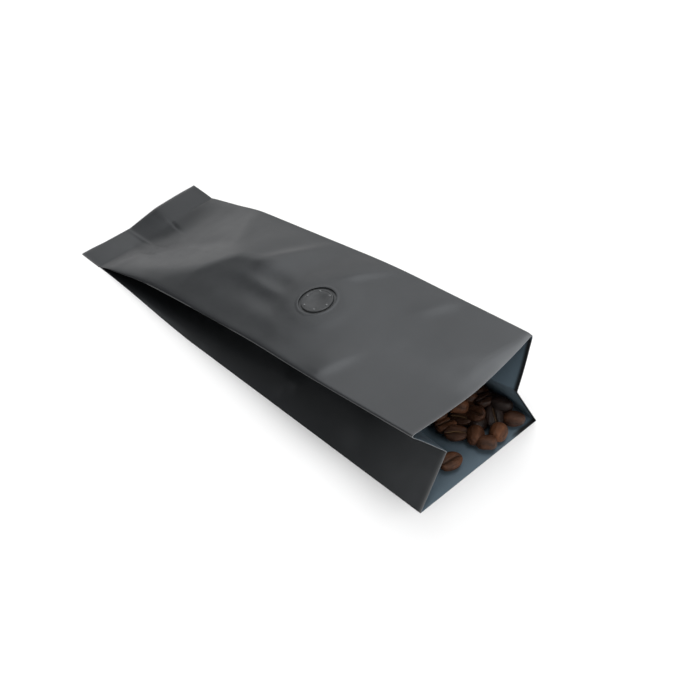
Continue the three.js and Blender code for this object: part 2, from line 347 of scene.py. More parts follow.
    @property
    def half_width(self) -> float:
        """Half of a panel's width."""
        return self.panel_width / 2

    @property
    def seal_x(self) -> float:
        """Where the bottom seal ends."""
        return -self.lying_length / 2

    @property
    def band_x(self) -> float:
        """Where the seal band meets the open bag."""
        return self.seal_x + self.seal_band

    @property
    def mouth_x(self) -> float:
        """Where the back panel ends at the mouth."""
        return self.lying_length / 2

    def open_share(self, x: np.ndarray) -> np.ndarray:
        """Share of the way from the seal band to the mouth."""
        return np.clip((x - self.band_x) / (self.mouth_x - self.band_x), 0.0, 1.0)

    def edge_share(self, y: np.ndarray) -> np.ndarray:
        """Share of the way from the middle of a panel to its folds."""
        return np.minimum(np.abs(y) / self.half_width, 1.0)

    def back_height(self, x: np.ndarray, y: np.ndarray) -> np.ndarray:
        """Height of the back panel, which lifts at one half of the seal.

        Args:
            x: Places along the bag.
            y: Places across the bag.

        Returns:
            The height at each point.
        """
        low = self.curl_middle - self.curl_half_width
        high = self.curl_middle + self.curl_half_width
        straight = np.clip((y - low) / (self.half_width - low), 0.0, 1.0)
        across = self.curl_step * smooth_step(y, low, high) + (1.0 - self.curl_step) * straight
        along = 1.0 - smooth_step(x, self.seal_x, self.seal_x + self.curl_reach)
        return self.seal_curl * across * along

    def fold_height(self, x: np.ndarray, fold: FoldLine) -> np.ndarray:
        """Height of one long fold of the front panel: three straight stretches with soft bends.

        Args:
            x: Places along the bag.
            fold: Which fold.

        Returns:
            The height at each place.
        """
        at = np.maximum(x, self.band_x)
        rise = line_through(at, (self.band_x, self.seal_thickness), fold.shoulder)
        middle = line_through(at, fold.shoulder, fold.waist)
        front = line_through(at, fold.waist, (self.mouth_x, fold.mouth_height))
        height = soft_min(soft_min(rise, middle, self.fold_blend), front, self.fold_blend)
        return height + self.back_height(x, fold.side * self.half_width + 0.0 * x)

    def chord_height(self, x: np.ndarray, y: np.ndarray) -> np.ndarray:
        """Height of the straight line across the bag from fold to fold, less the sag towards the mouth.

        Args:
            x: Places along the bag.
            y: Places across the bag.

        Returns:
            The height at each point.
        """
        near, far = self.fold_height(x, self.near), self.fold_height(x, self.far)
        share = (y + self.half_width) / self.panel_width
        power = np.where(y < 0.0, self.near_sag_power, self.far_sag_power)
        tent = 1.0 - self.edge_share(y) ** power
        along = np.clip((x - self.sag_start) / (self.mouth_x - self.sag_start), 0.0, 1.0) ** self.sag_power
        return near + (far - near) * share - self.mouth_sag * tent * along

    def crest(self, x: np.ndarray, y: np.ndarray) -> np.ndarray:
        """Height that the swelling between the seal and the valve adds, up to a crest off the middle.

        Args:
            x: Places along the bag.
            y: Places across the bag.

        Returns:
            The added height at each point.
        """
        before = (x - self.crest_arc_x) / (self.apex_x - self.crest_arc_x)
        before = np.clip(before, 0.0, self.crest_overrun)
        after = smooth_step(x, self.crest_arc_x, self.crest_fall_end)
        crest_y = self.crest_arc_y - self.crest_rise * before**2 - self.crest_fall * after
        from_near = (np.maximum(y + self.half_width, 0.0) / (crest_y + self.half_width)) ** self.near_hollow
        from_far = (self.half_width - y) / (self.half_width - crest_y)
        first_fall = self.crest_drop * smooth_step(x, self.apex_x, self.crest_drop_end)
        last_fall = (1.0 - self.crest_drop) * smooth_step(x, self.crest_drop_end, self.crest_end)
        tent = soft_min(from_near, from_far, self.crest_round)
        return self.crest_height * tent * (1.0 - first_fall - last_fall)

    def apex_height(self) -> float:
        """Height of the front panel at the swelling's apex.

        Returns:
            The height.
        """
        x = np.array([self.apex_x])
        y = np.array([self.crest_arc_y - self.crest_rise])
        return float((self.chord_height(x, y) + self.crest(x, y))[0])

    def slack_height(self, x: np.ndarray, y: np.ndarray) -> np.ndarray:
        """Height of the front panel without its valve.

        Args:
            x: Places along the bag.
            y: Places across the bag.

        Returns:
            The height at each point.
        """
        chord = self.chord_height(x, y)
        roof = chord + self.crest(x, y)
        panel = soft_min(self.face_height(x, y), roof, self.hip_round)
        edge = self.edge_share(y)
        panel = panel + (chord - panel) * edge**self.edge_power
        fade = np.minimum(1.0, self.ridge_fade * (1.0 - edge))
        relief = sum(ridge.at(x, y) for ridge in self.ridges) * fade
        return panel + relief - self.seal_step(x, y) + self.droop_rise(x, y) + self.fold_puff(x, y)

    def face_height(self, x: np.ndarray, y: np.ndarray) -> np.ndarray:
        """Height of the face that lies flat by the seal and then rises straight to the apex.

        Args:
            x: Places along the bag.
            y: Places across the bag.

        Returns:
            The height at each point.
        """
        toe = (self.toe_x, self.toe_height)
        ramp = line_through(x, toe, (self.apex_x, self.apex_height()))
        middle = soft_max(self.back_height(x, y) + self.seal_thickness, ramp, self.toe_round)
        at = np.maximum(x, self.band_x)
        start = (self.band_x, self.seal_thickness)
        near_side = line_through(at, start, self.near.shoulder)
        far_side = line_through(at, start, self.far.shoulder)
        side = np.where(y < 0.0, near_side, far_side) + self.back_height(x, np.sign(y) * self.half_width)
        edge = self.edge_share(y)
        bulge = self.face_bulge.at(x, y) * np.minimum(1.0, self.bulge_fade * (1.0 - edge))
        face = middle + (side - middle) * edge**self.drape_power
        return face + bulge * smooth_step(x, self.band_x, self.toe_x)

    def droop_rise(self, x: np.ndarray, y: np.ndarray) -> np.ndarray:
        """Height of the low swell before the mouth, from which the edge droops.

        Args:
            x: Places along the bag.
            y: Places across the bag.

        Returns:
            The height at each point.
        """
        to_far = smooth_step(y, self.droop_narrows_y, self.half_width)
        width = self.droop_width + (self.droop_far_width - self.droop_width) * to_far
        edge = self.mouth_x - width
        past = np.clip((x - edge) / width, 0.0, 1.0) ** self.droop_power
        swell = smooth_step(x, self.droop_start, edge) - past
        return self.droop_slope * width * smooth_step(y, *self.droop_grows_y) * swell

    def fold_puff(self, x: np.ndarray, y: np.ndarray) -> np.ndarray:
        """Height by which the swollen panel stands above its near fold, so that it rolls down to it.

        Args:
            x: Places along the bag.
            y: Places across the bag.

        Returns:
            The height at each point.
        """
        inside = np.maximum(y + self.half_width, 0.0)
        across = (1.0 - np.exp(-inside / self.puff_reach)) * (1.0 - smooth_step(y, *self.puff_ends_y))
        along = smooth_step(x, self.band_x, self.toe_x) * (1.0 - smooth_step(x, *self.puff_ends_x))
        return self.puff * across * along

    def seal_step(self, x: np.ndarray, y: np.ndarray) -> np.ndarray:
        """Depth of the strip of the seal that has no gusset between its two panels.

        Args:
            x: Places along the bag.
            y: Places across the bag.

        Returns:
            The depth at each point.
        """
        near = smooth_step(y, self.step_near_y - self.step_edge, self.step_near_y + self.step_edge)
        far = smooth_step(y, self.step_far_y - self.step_fade, self.step_far_y + self.step_edge)
        fade = 1.0 - smooth_step(x - self.band_x, *self.step_ends)
        return self.step_depth * near * (1.0 - far) * fade

    def valve_spots(self, reach: float) -> tuple[np.ndarray, np.ndarray]:
        """Spots that give the plane of the valve.

        Args:
            reach: How far the outer spots are from the valve's middle.

        Returns:
            Places along and places across of the middle and of the spots at +X, -X, +Y and -Y of it.
        """
        along = np.array([0.0, reach, -reach, 0.0, 0.0]) + self.valve_x
        across = np.array([0.0, 0.0, 0.0, reach, -reach]) + self.valve_y
        return along, across

    def valve_plane(self) -> tuple[float, float, float]:
        """The plane that the valve lies in.

        Returns:
            Its height at the valve's middle, and its slopes along and across the bag.
        """
        step = self.valve_flat_radius
        z = self.slack_height(*self.valve_spots(step))
        return float(z[0]), float(z[1] - z[2]) / (2 * step), float(z[3] - z[4]) / (2 * step)

    def front_height(self, x: np.ndarray, y: np.ndarray) -> np.ndarray:
        """Height of the front panel, flat where it lies on the valve and with a low lip round its hole.

        Args:
            x: Places along the bag.
            y: Places across the bag.

        Returns:
            The height at each point.
        """
        middle, slope_x, slope_y = self.valve_plane()
        plane = middle + slope_x * (x - self.valve_x) + slope_y * (y - self.valve_y)
        distance = np.hypot(x - self.valve_x, y - self.valve_y)
        share = smooth_step(distance, self.valve_flat_radius, self.valve_flat_radius + self.valve_flat_fade)
        lip = self.lip_height * np.exp(-(((distance - self.lip_radius) / self.lip_width) ** 2))
        return plane + (self.slack_height(x, y) - plane) * share + lip

    def swell(self, x: float) -> float:
        """How much the front panel's swelling draws on the folds.

        Args:
            x: The station.

        Returns:
            The share, from 0 to 1.
        """
        spot = np.array([x])
        grown = smooth_step(spot, *self.swell_grows)
        fallen = smooth_step(spot, *self.swell_falls)
        return float(grown[0] * (1.0 - fallen[0]))

    def hem(self, x: float) -> float:
        """How far the back panel's near fold bows out.

        Args:
            x: The station.

        Returns:
            The distance.
        """
        spot = np.array([x])
        grown = smooth_step(spot, self.hem_start, self.hem_widest)
        past = np.clip((spot - self.hem_widest) / (self.mouth_x - self.hem_widest), 0.0, 1.0)
        return float((self.hem_bow * grown * (1.0 - (1.0 - self.hem_mouth_share) * past))[0])

    def gusset(self, x: float, fold: FoldLine, wall: float) -> GussetSection:
        """Where a gusset's folds are at a station.

        Args:
            x: The station.
            fold: Which side.
            wall: How far inside the film's outer face, 0 for that face.

        Returns:
            The gusset's section.
        """
        spot = np.array([x])
        corner = fold.side * (self.half_width - fold.pull * self.swell(x))
        top = float(self.front_height(spot, np.array([corner]))[0])
        bottom = float(self.back_height(spot, np.array([fold.side * self.half_width]))[0])
        leaf = self.gusset_leaf * (1.0 - fold.leaf_bow * float(self.open_share(spot)[0]) ** 2)
        opening = math.asin((top - bottom) / 2 / leaf)
        low_crease = 1.0 - float(smooth_step(spot, self.band_x, self.apex_x)[0])
        corner_inset = wall / math.tan(opening / 2)
        crease_inset = wall / math.sin(opening)
        crease_y = fold.side * (self.half_width - leaf * math.cos(opening))
        crease_base = float(self.back_height(spot, np.array([crease_y]))[0])
        return GussetSection(
            top_y=corner - fold.side * corner_inset,
            bottom_y=fold.side * (self.half_width - corner_inset) - (self.hem(x) if fold.side < 0 else 0.0),
            crease_y=crease_y - fold.side * crease_inset,
            top_z=top - wall,
            crease_z=crease_base + (top - bottom) * (0.5 - self.crease_lowered * low_crease),
            bottom_z=bottom + wall,
            opening=opening,
        )

    def place(self, x: np.ndarray, y: np.ndarray, z: np.ndarray) -> np.ndarray:
        """Points of the film; towards the mouth the higher ones stand back, because the front panel slopes.

        Args:
            x: Stations of the points.
            y: Places across the bag.
            z: Heights.

        Returns:
            The points, one row each.
        """
        t = self.open_share(x)
        lean = self.mouth_lean * t * z / (self.seal_thickness + self.lean_height * t)
        dip = np.exp(-(((y - self.dip_y) / self.dip_width) ** 2))
        dip = dip * (1.0 - smooth_step(x, self.seal_x, self.band_x))
        return np.stack([x - lean + self.seal_dip * dip, y + 0.0 * x, z], axis=-1)

    def valve_matrix(self) -> Matrix:
        """Where the valve stands, with its middle on the film's outer face.

        Returns:
            Its place and turn in metres, with +Z out of the bag.
        """
        x, y = self.valve_spots(self.valve_level_reach)
        points = [Vector(point) for point in self.place(x, y, self.front_height(x, y))]
        outward = (points[1] - points[2]).cross(points[3] - points[4]).normalized()
        turn = Vector((0.0, 0.0, 1.0)).rotation_difference(outward)
        return Matrix.Translation(points[0] * MM) @ turn.to_matrix().to_4x4()


class NodeBoard:
    """A node tree that is filled with short calls."""

    tree: bpy.types.NodeTree

    def node(self, kind: str, **settings: object) -> bpy.types.Node:
        """Add a node.

        Args:
            kind: Its type name.
            **settings: Values for its own properties.

        Returns:
            The node.
        """
        made = self.tree.nodes.new(kind)
        for key, value in settings.items():
            setattr(made, key, value)
        return made

    def link(self, source: Socket, target: Socket) -> None:
        """Join two sockets."""
        self.tree.links.new(source, target)


@dataclass(frozen=True)
class Cloud:
    """A cloudy pattern.

    Attributes:
        scale: Its size, as cycles for each metre.
        detail: How many finer layers it has.
    """

    scale: float
    detail: float


@dataclass(frozen=True)
class Relief:
    """A relief too fine to be modelled.

    Attributes:
        cloud: Its pattern.
        depth: Its height, in metres.
        strength: How much of it shows.
    """

    cloud: Cloud
    depth: float
    strength: float


class NodeMaker(NodeBoard):
    """Makes one material's shader nodes."""

    def __init__(self, name: str) -> None:
        """Start an empty material.

        Args:
            name: The material's name.
        """
        self.material = bpy.data.materials.new(name)
        self.material.use_nodes = True
        self.tree = self.material.node_tree
        self.shader = self.tree.nodes["Principled BSDF"]

    def set(self, **values: object) -> None:
        """Set the shader's own sockets by their names, with _ for a space."""
        for key, value in values.items():
            self.shader.inputs[key.replace("_", " ")].default_value = value

    def feed(self, name: str, source: Socket) -> None:
        """Link a value to one of the shader's own sockets, by its name."""
        self.link(source, self.shader.inputs[name])

    def coordinates(self) -> Socket:
        """The piece's own coordinates."""
        return self.node("ShaderNodeTexCoord").outputs["Object"]

    def attribute(self, name: str, output: str = "Fac") -> Socket:
        """A value that is stored in the mesh.

        Args:
            name: The attribute's name.
            output: Fac for a number and Vector for three.

        Returns:
            The socket that gives it.
        """
        return self.node("ShaderNodeAttribute", attribute_name=name).outputs[output]

    def noise(self, cloud: Cloud, where: Socket | None = None) -> Socket:
        """A cloudy value from 0 to 1.

        Args:
            cloud: Its pattern.
            where: Coordinates to read it at, the piece's own if none are given.

        Returns:
            The socket of its value.
        """
        made = self.node("ShaderNodeTexNoise")
        made.inputs["Scale"].default_value = cloud.scale
        made.inputs["Detail"].default_value = cloud.detail
        self.link(where or self.coordinates(), made.inputs["Vector"])
        return made.outputs["Fac"]

    def ramp(self, source: Socket, start: float, first: Colour, end: float, last: Colour) -> Socket:
        """Blend two colours along a value.

        Args:
            source: The value.
            start: Where the first colour is.
            first: That colour.
            end: Where the last colour is.
            last: That colour.

        Returns:
            The socket of the colour.
        """
        made = self.node("ShaderNodeValToRGB")
        stops = ((start, first), (end, last))
        for element, (place, colour) in zip(made.color_ramp.elements, stops):
            element.position = place
            element.color = (*colour, 1.0)
        self.link(source, made.inputs["Fac"])
        return made.outputs["Color"]

    def mottled(self, cloud: Cloud, dark: Colour, light: Colour) -> Socket:
        """Two colours in a cloudy pattern."""
        low, high = NOISE_SPAN
        return self.ramp(self.noise(cloud), low, dark, high, light)

    def span(self, source: Socket, ends: Span, start: float = 0.0, end: float = 1.0) -> Socket:
        """Map a value from start..end to two others, held at both ends.

        Args:
            source: The value.
            ends: Results at start and at end.
            start: Value that gives the first.
            end: Value that gives the second.

        Returns:
            The socket of the result.
        """
        made = self.node("ShaderNodeMapRange")
        names = ("From Min", "From Max", "To Min", "To Max")
        for name, value in zip(names, (start, end, *ends)):
            made.inputs[name].default_value = value
        self.link(source, made.inputs["Value"])
        return made.outputs["Result"]

    def uneven(self, cloud: Cloud, ends: Span, where: Socket | None = None) -> Socket:
        """A number that varies between two ends in a cloudy pattern.

        Args:
            cloud: The pattern.
            ends: The least and the most.
            where: Coordinates to read it at, the piece's own if none are given.

        Returns:
            The socket of the number.
        """
        return self.span(self.noise(cloud, where), ends, *NOISE_SPAN)

    def mix(self, share: Socket, first: Socket | Colour, second: Socket | Colour) -> Socket:
        """Mix two colours.

        Args:
            share: How much of the second shows.
            first: A socket or a colour.
            second: A socket or a colour.

        Returns:
            The socket of the colour.
        """
        made = self.node("ShaderNodeMix", data_type="RGBA")
        self.link(share, made.inputs["Factor"])
        for place, value in ((MIX_FIRST, first), (MIX_SECOND, second)):
            if isinstance(value, Socket):
                self.link(value, made.inputs[place])
            else:
                made.inputs[place].default_value = (*value, 1.0)
        return made.outputs[MIX_COLOUR]

    def bump(self, relief: Relief, where: Socket | None = None, below: Socket | None = None) -> Socket:
        """Show a fine relief.

        Args:
            relief: The relief.
            where: Coordinates to read it at, the piece's own if none are given.
            below: The normal of a relief that this one lies on.

        Returns:
            The socket of the normal.
        """
        made = self.node("ShaderNodeBump")
        made.inputs["Strength"].default_value = relief.strength
        made.inputs["Distance"].default_value = relief.depth
        self.link(self.noise(relief.cloud, where), made.inputs["Height"])
        if below is not None:
            self.link(below, made.inputs["Normal"])
        return made.outputs["Normal"]


@dataclass(frozen=True)
class FilmFinish:
    """Matte outer face of the laminate, with a soft cool sheen and painted highlights along its folds, the
    seal's end and the mouth's rim.
    """

    dark: Colour = (0.0105, 0.0114, 0.0126)
    light: Colour = (0.0140, 0.0151, 0.0166)
    # Colour of the painted highlights along the folds, the seal's end and the mouth's rim.
    fold: Colour = (0.16, 0.16, 0.16)
    sheen: Colour = (0.92, 0.96, 1.0)
    mottle: Cloud = Cloud(55.0, 4.0)
    wear: Cloud = Cloud(140.0, 5.0)
    roughness: Span = (0.29, 0.34)
    gloss: float = 0.52
    pressed_gloss: float = 0.32
    ior: float = 1.52
    grain: Relief = Relief(Cloud(2600.0, 2.0), 0.00003, 0.25)
    ripple: Relief = Relief(Cloud(48.0, 1.0), 0.0012, 0.25)

    def make(self) -> bpy.types.Material:
        """Make the finish.

        Returns:
            The material.
        """
        m = NodeMaker("matte_film")
        plain = m.mottled(self.mottle, self.dark, self.light)
        # The crease attribute paints highlights along the folds, the seal's end and the mouth's rim.
        m.feed("Base Color", m.mix(m.attribute("crease"), plain, self.fold))
        m.feed("Roughness", m.uneven(self.wear, self.roughness))
        m.feed("Specular IOR Level", m.span(m.attribute("pressed"), (self.gloss, self.pressed_gloss)))
        m.feed("Normal", m.bump(self.ripple, below=m.bump(self.grain)))
        m.set(IOR=self.ior, Specular_Tint=(*self.sheen, 1.0))
        return m.material


@dataclass(frozen=True)
class LiningFinish:
    """Blue-grey inner face of the laminate, with painted shade on the far gusset's leaves along the mouth's
    rim.
    """

    dark: Colour = (0.104, 0.146, 0.178)
    light: Colour = (0.130, 0.178, 0.216)
    # Colour of the painted shade on the far gusset's leaves by the mouth's rim.
    margin: Colour = (0.012, 0.013, 0.014)
    mottle: Cloud = Cloud(45.0, 4.0)
    roughness: float = 0.42
    metallic: float = 0.15
    grain: Relief = Relief(Cloud(220.0, 4.0), 0.0003, 0.2)

    def make(self) -> bpy.types.Material:
        """Make the finish.

        Returns:
            The material.
        """
        m = NodeMaker("lining")
        plain = m.mottled(self.mottle, self.dark, self.light)
        m.feed("Base Color", m.mix(m.attribute("margin"), plain, self.margin))
        m.feed("Normal", m.bump(self.grain))
        m.set(Roughness=self.roughness, Metallic=self.metallic)
        return m.material


@dataclass(frozen=True)
class CutEdgeFinish:
    """Cut edge of the film, paler than its faces."""

    colour: Colour = (0.16, 0.17, 0.18)
    lightening: float = 1.25
    mottle: Cloud = Cloud(300.0, 3.0)
    roughness: float = 0.5

    def make(self) -> bpy.types.Material:
        """Make the finish.

        Returns:
            The material.
        """
        m = NodeMaker("film_edge")
        pale = tuple(self.lightening * c for c in self.colour)
        m.feed("Base Color", m.mottled(self.mottle, self.colour, pale))
        m.set(Roughness=self.roughness)
        return m.material


@dataclass(frozen=True)
class ValveFinish:
    """Satin dark plastic of the valve, with glossier pips whose paler colour is painted highlight."""

    dark: Colour = (0.026, 0.027, 0.028)
    light: Colour = (0.036, 0.037, 0.038)
    # Paler colour of the pips, painted highlight.
    pip: Colour = (0.11, 0.113, 0.116)
    sheen: Colour = (0.92, 0.96, 1.0)
    mottle: Cloud = Cloud(260.0, 4.0)
    wear: Cloud = Cloud(600.0, 3.0)
    roughness: Span = (0.34, 0.46)
    pip_roughness: float = 0.22
    gloss: float = 0.38
    ior: float = 1.5
    grain: Relief = Relief(Cloud(1500.0, 3.0), 0.00005, 0.25)

    def make(self) -> bpy.types.Material:
        """Make the finish.

        Returns:
            The material.
        """
        m = NodeMaker("valve_plastic")
        plain = m.mottled(self.mottle, self.dark, self.light)
        m.feed("Base Color", m.mix(m.attribute("pip"), plain, self.pip))
        roughness_mix = m.node("ShaderNodeMix", data_type="FLOAT")
        m.link(m.attribute("pip"), roughness_mix.inputs["Factor"])
        m.link(m.uneven(self.wear, self.roughness), roughness_mix.inputs["A"])
        roughness_mix.inputs["B"].default_value = self.pip_roughness
        m.feed("Roughness", roughness_mix.outputs["Result"])
        m.feed("Normal", m.bump(self.grain))
        m.set(IOR=self.ior, Specular_IOR_Level=self.gloss, Specular_Tint=(*self.sheen, 1.0))
        return m.material


@dataclass(frozen=True)
class BeanFinish:
    """Roasted bean: mottled brown, darker and glossier the longer it was roasted, with painted shade on the
    beans at the back of the heap and in its crease, and skin left in some creases.
    """

    pale: Colour = (0.118, 0.046, 0.020)
    # The darkest end of the ramp, also the painted shade of the beans at the back of the heap.
    deep: Colour = (0.013, 0.0064, 0.0044)
    # Colour of the painted shade in the crease where no skin is left.
    crease_shade: Colour = (0.016, 0.008, 0.005)
    skin: Colour = (0.30, 0.19, 0.095)
    streaking: tuple[float, float, float] = (0.35, 1.0, 1.0)
    mottle: Cloud = Cloud(420.0, 6.0)
    mottle_span: Span = (0.45, 1.45)
    roast_roughness: Span = (0.62, 0.42)
    wear: Cloud = Cloud(300.0, 4.0)
    wear_span: Span = (0.8, 1.2)
    gloss: float = 0.3
    ior: float = 1.42
    wrinkle: Relief = Relief(Cloud(620.0, 5.0), 0.0010, 0.8)
    grain: Relief = Relief(Cloud(2500.0, 2.0), 0.0001, 0.3)

    def make(self) -> bpy.types.Material:
        """Make the finish.

        Returns:
            The material.
        """
        m = NodeMaker("roasted_bean")
        local = m.attribute("bean_local", "Vector")
        stretched = m.node("ShaderNodeMapping")
        stretched.inputs["Scale"].default_value = self.streaking
        m.link(local, stretched.inputs["Vector"])
        along = stretched.outputs["Vector"]
        spotted = m.node("ShaderNodeVectorMath", operation="SCALE")
        # Darker the longer it was roasted, and with painted shade on the beans at the back of the heap.
        m.link(m.ramp(m.attribute("roast"), 0.0, self.pale, 1.0, self.deep), spotted.inputs[0])
        m.link(m.uneven(self.mottle, self.mottle_span, along), spotted.inputs["Scale"])
        # The groove attribute paints shade in the crease; skin is left in some.
        crease = m.mix(m.attribute("chaff"), self.crease_shade, self.skin)
        m.feed("Base Color", m.mix(m.attribute("groove"), spotted.outputs[0], crease))
        rough = m.node("ShaderNodeMath", operation="MULTIPLY")
        m.link(m.span(m.attribute("roast"), self.roast_roughness), rough.inputs[0])
        m.link(m.uneven(self.wear, self.wear_span, local), rough.inputs[1])
        m.feed("Roughness", rough.outputs[0])
        m.feed("Normal", m.bump(self.grain, local, m.bump(self.wrinkle, along)))
        m.set(IOR=self.ior, Specular_IOR_Level=self.gloss)
        return m.material


@dataclass(frozen=True)
class FloorFinish:
    """Pale paper of the studio floor."""

    colour: Colour = (0.93, 0.93, 0.93)
    lightening: float = 1.03
    mottle: Cloud = Cloud(6.0, 2.0)
    roughness: float = 0.9

    def make(self) -> bpy.types.Material:
        """Make the finish.

        Returns:
            The material.
        """
        m = NodeMaker("pale_floor")
        bright = tuple(min(1.0, self.lightening * c) for c in self.colour)
        m.feed("Base Color", m.mottled(self.mottle, self.colour, bright))
        m.set(Roughness=self.roughness)
        return m.material


def mesh_object(name: str, points: np.ndarray, faces: list[tuple[int, ...]]) -> bpy.types.Object:
    """A mesh from points in millimetres and faces.

    Args:
        name: The object's name.
        points: One row of three for each point.
        faces: Point numbers of each face.

    Returns:
        The object, linked to the scene.
    """
    mesh = bpy.data.meshes.new(name)
    mesh.from_pydata((points * MM).tolist(), [], faces)
    mesh.validate()
    made = bpy.data.objects.new(name, mesh)
    bpy.context.scene.collection.objects.link(made)
    return made


def strip_faces(count: int, first: int, second: int) -> list[tuple[int, ...]]:
    """Faces between two rings of points.

    Args:
        count: How many points a ring has.
        first: Number of the first ring's first point.
        second: Number of the second ring's first point.

    Returns:
        Point numbers of each face.
    """
    turns = [(j, (j + 1) % count) for j in range(count)]
    return [(first + j, first + k, second + k, second + j) for j, k in turns]


def store(mesh: bpy.types.Mesh, name: str, values: np.ndarray) -> None:
    """Keep a number or a vector at each point of a mesh.

    Args:
        mesh: The mesh.
        name: The attribute's name.
        values: One number, or one row of three, for each point.
    """
    kind, key = ("FLOAT", "value") if values.ndim == 1 else ("FLOAT_VECTOR", "vector")
    attribute = mesh.attributes.new(name, kind, "POINT")
    attribute.data.foreach_set(key, values.astype(np.float32).ravel())


def shade_smooth(mesh: bpy.types.Mesh, sharp_degrees: float) -> None:
    """Smooth a mesh but for its edges that are sharper than an angle."""
    mesh.shade_smooth()
    mesh.set_sharp_from_angle(angle=math.radians(sharp_degrees))


def dress(piece: bpy.types.Object, slot: str, *nodes: str) -> None:
    """Let a finished piece stand for its nodes.

    Args:
        piece: The finished object.
        slot: Not used.
        *nodes: The nodes that it stands for.
    """
    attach(piece, BODY)
    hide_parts(*nodes)
    LOG.info("%s: %d faces", piece.name, len(piece.data.polygons))


@dataclass
class FilmBag:
    """The film of the bag: two panels, two side gussets and the bottom seal."""

    form: BagForm
    hole_radius: float
    # How finely it is meshed.
    band_stations: int = 14
    seal_side_stations: int = 92
    valve_stations: int = 58
    mouth_side_stations: int = 62
    valve_reach: float = 15.0
    front_steps: int = 88
    middle_density: float = 0.45
    back_steps: int = 24
    leaf_steps: int = 14
    round_steps: int = 7
    sharp_angle: float = 50.0
    # Folds, the push of the film below them, and the shut end of the gussets.
    fold_round: float = 0.55
    trim_limit: float = 0.3
    lip_push: float = 0.9
    lip_place: float = 2.2
    shut_length: float = 0.6
    end_step: float = 0.35
    # The tool that cuts the valve's hole.
    drill_depth: float = 8.0
    drill_segments: int = 128
    # Widths of the painted highlights along the folds, the seal's end and the mouth's rim, and how strong
    # each is.
    fold_highlight_width: float = 0.5
    end_highlight_width: float = 0.8
    rim_highlight_width: float = 1.0
    near_share: float = 0.4
    near_mouth_share: float = 0.7
    near_grows: Span = (40.0, 100.0)
    far_share: float = 0.06
    end_share: float = 0.4
    rim_share: float = 0.25
    leaf_rim_share: float = 0.7
    leaf_depth: Span = (1.0, 3.0)
    # The lining's painted shade along the far gusset's rim, and the pressed part of the seal.
    shade_margin_width: float = 1.4
    shade_margin_fade: float = 1.6
    shade_margin_grows_y: Span = (24.0, 27.0)
    pressed_fade: float = 3.0
    pressed_near: float = 0.25
    pressed_edge: float = 1.0

    def leaf_run(self, start: np.ndarray, end: np.ndarray, trims: Span) -> np.ndarray:
        """Points of one gusset leaf between two folds.

        Args:
            start: First fold, as place across and height.
            end: Last fold.
            trims: How much each fold's rounding takes of the leaf.

        Returns:
            One row of place across and height for each point, closer together at the folds.
        """
        length = float(np.hypot(*(end - start)))
        first, last = (min(trim, self.trim_limit * length) / length for trim in trims)
        even = np.linspace(0.0, 1.0, self.leaf_steps + 1)
        share = first + (1.0 - first - last) * 0.5 * (1.0 - np.cos(np.pi * even))
        return start + np.outer(share, end - start)

    def bowed(
        self, leaf: np.ndarray, top: np.ndarray, fold: FoldLine, opening: float, t: float
    ) -> np.ndarray:
        """Push an upper leaf out below its fold, and bow it.

        Args:
            leaf: The leaf's points.
            top: The fold that it hangs from.
            fold: Which side it is on.
            opening: The leaf's angle to the panels.
            t: Share of the way from the seal to the mouth.

        Returns:
            The moved points.
        """
        reach = np.hypot(leaf[:, 0] - top[0], leaf[:, 1] - top[1])
        push = self.lip_push * reach / self.lip_place * np.exp(1.0 - reach / self.lip_place)
        bow = fold.bow * t**2 * np.sin(np.pi * np.clip(reach / reach.max(), 0.0, 1.0))
        shift = fold.side * (push + bow) * math.sin(opening) ** 2
        return np.stack([leaf[:, 0] + shift, leaf[:, 1]], axis=1)

    def wrinkled(self, leaf: np.ndarray, x: float) -> np.ndarray:
        """Raise the soft wrinkles of a lower leaf.

        Args:
            leaf: The leaf's points, from the crease to the bottom fold.
            x: The station.

        Returns:
            The moved points.
        """
        run = leaf[-1] - leaf[0]
        reach = np.hypot(*(leaf - leaf[-1]).T)
        rise = sum(ridge.at(np.full_like(reach, x), reach) for ridge in self.form.leaf_ridges)
        rise = rise * np.sin(np.pi * reach / reach.max())
        return leaf + np.outer(rise, [run[1], -run[0]]) / np.hypot(*run)

    def panel_run(self, start_y: float, end_y: float, steps: int, trims: Span, dense: float) -> np.ndarray:
        """Places across the bag of one panel between its two folds.

        Args:
            start_y: First fold's place across.
            end_y: Last fold's place across.
            steps: How many steps it takes.
            trims: How much each fold's rounding takes of the panel.
            dense: How much closer together the steps are in the middle.

        Returns:
            The places across.
        """
        width = abs(end_y - start_y)
        even = np.linspace(trims[0] / width, 1.0 - trims[1] / width, steps + 1)
        return start_y + (end_y - start_y) * (even + dense * np.sin(2.0 * np.pi * even) / (2.0 * np.pi))

    def rounded(self, runs: list[np.ndarray], corners: list[np.ndarray]) -> np.ndarray:
        """Join runs of points with small round folds.

        Args:
            runs: The runs in order round the bag.
            corners: The fold after each run.

        Returns:
            The whole ring.
        """
        ring = []
        share = np.linspace(0.0, 1.0, self.round_steps + 1)[1:-1, None]
        for i, run in enumerate(runs):
            start, end = run[-1], runs[(i + 1) % len(runs)][0]
            bend = (1 - share) ** 2 * start + 2 * share * (1 - share) * corners[i] + share**2 * end
            ring += [run, bend]
        return np.concatenate(ring)

    def roll_at(self, x: float, fold: FoldLine) -> float:
        """How far from one of the front panel's folds the film starts to roll over.

        Args:
            x: The station.
            fold: Which fold.

        Returns:
            The distance.
        """
        form = self.form
        grown = float(smooth_step(np.array([x]), form.band_x, form.band_x + form.roll_start)[0])
        return self.fold_round + (fold.roll - self.fold_round) * grown + fold.swell_roll * form.swell(x)

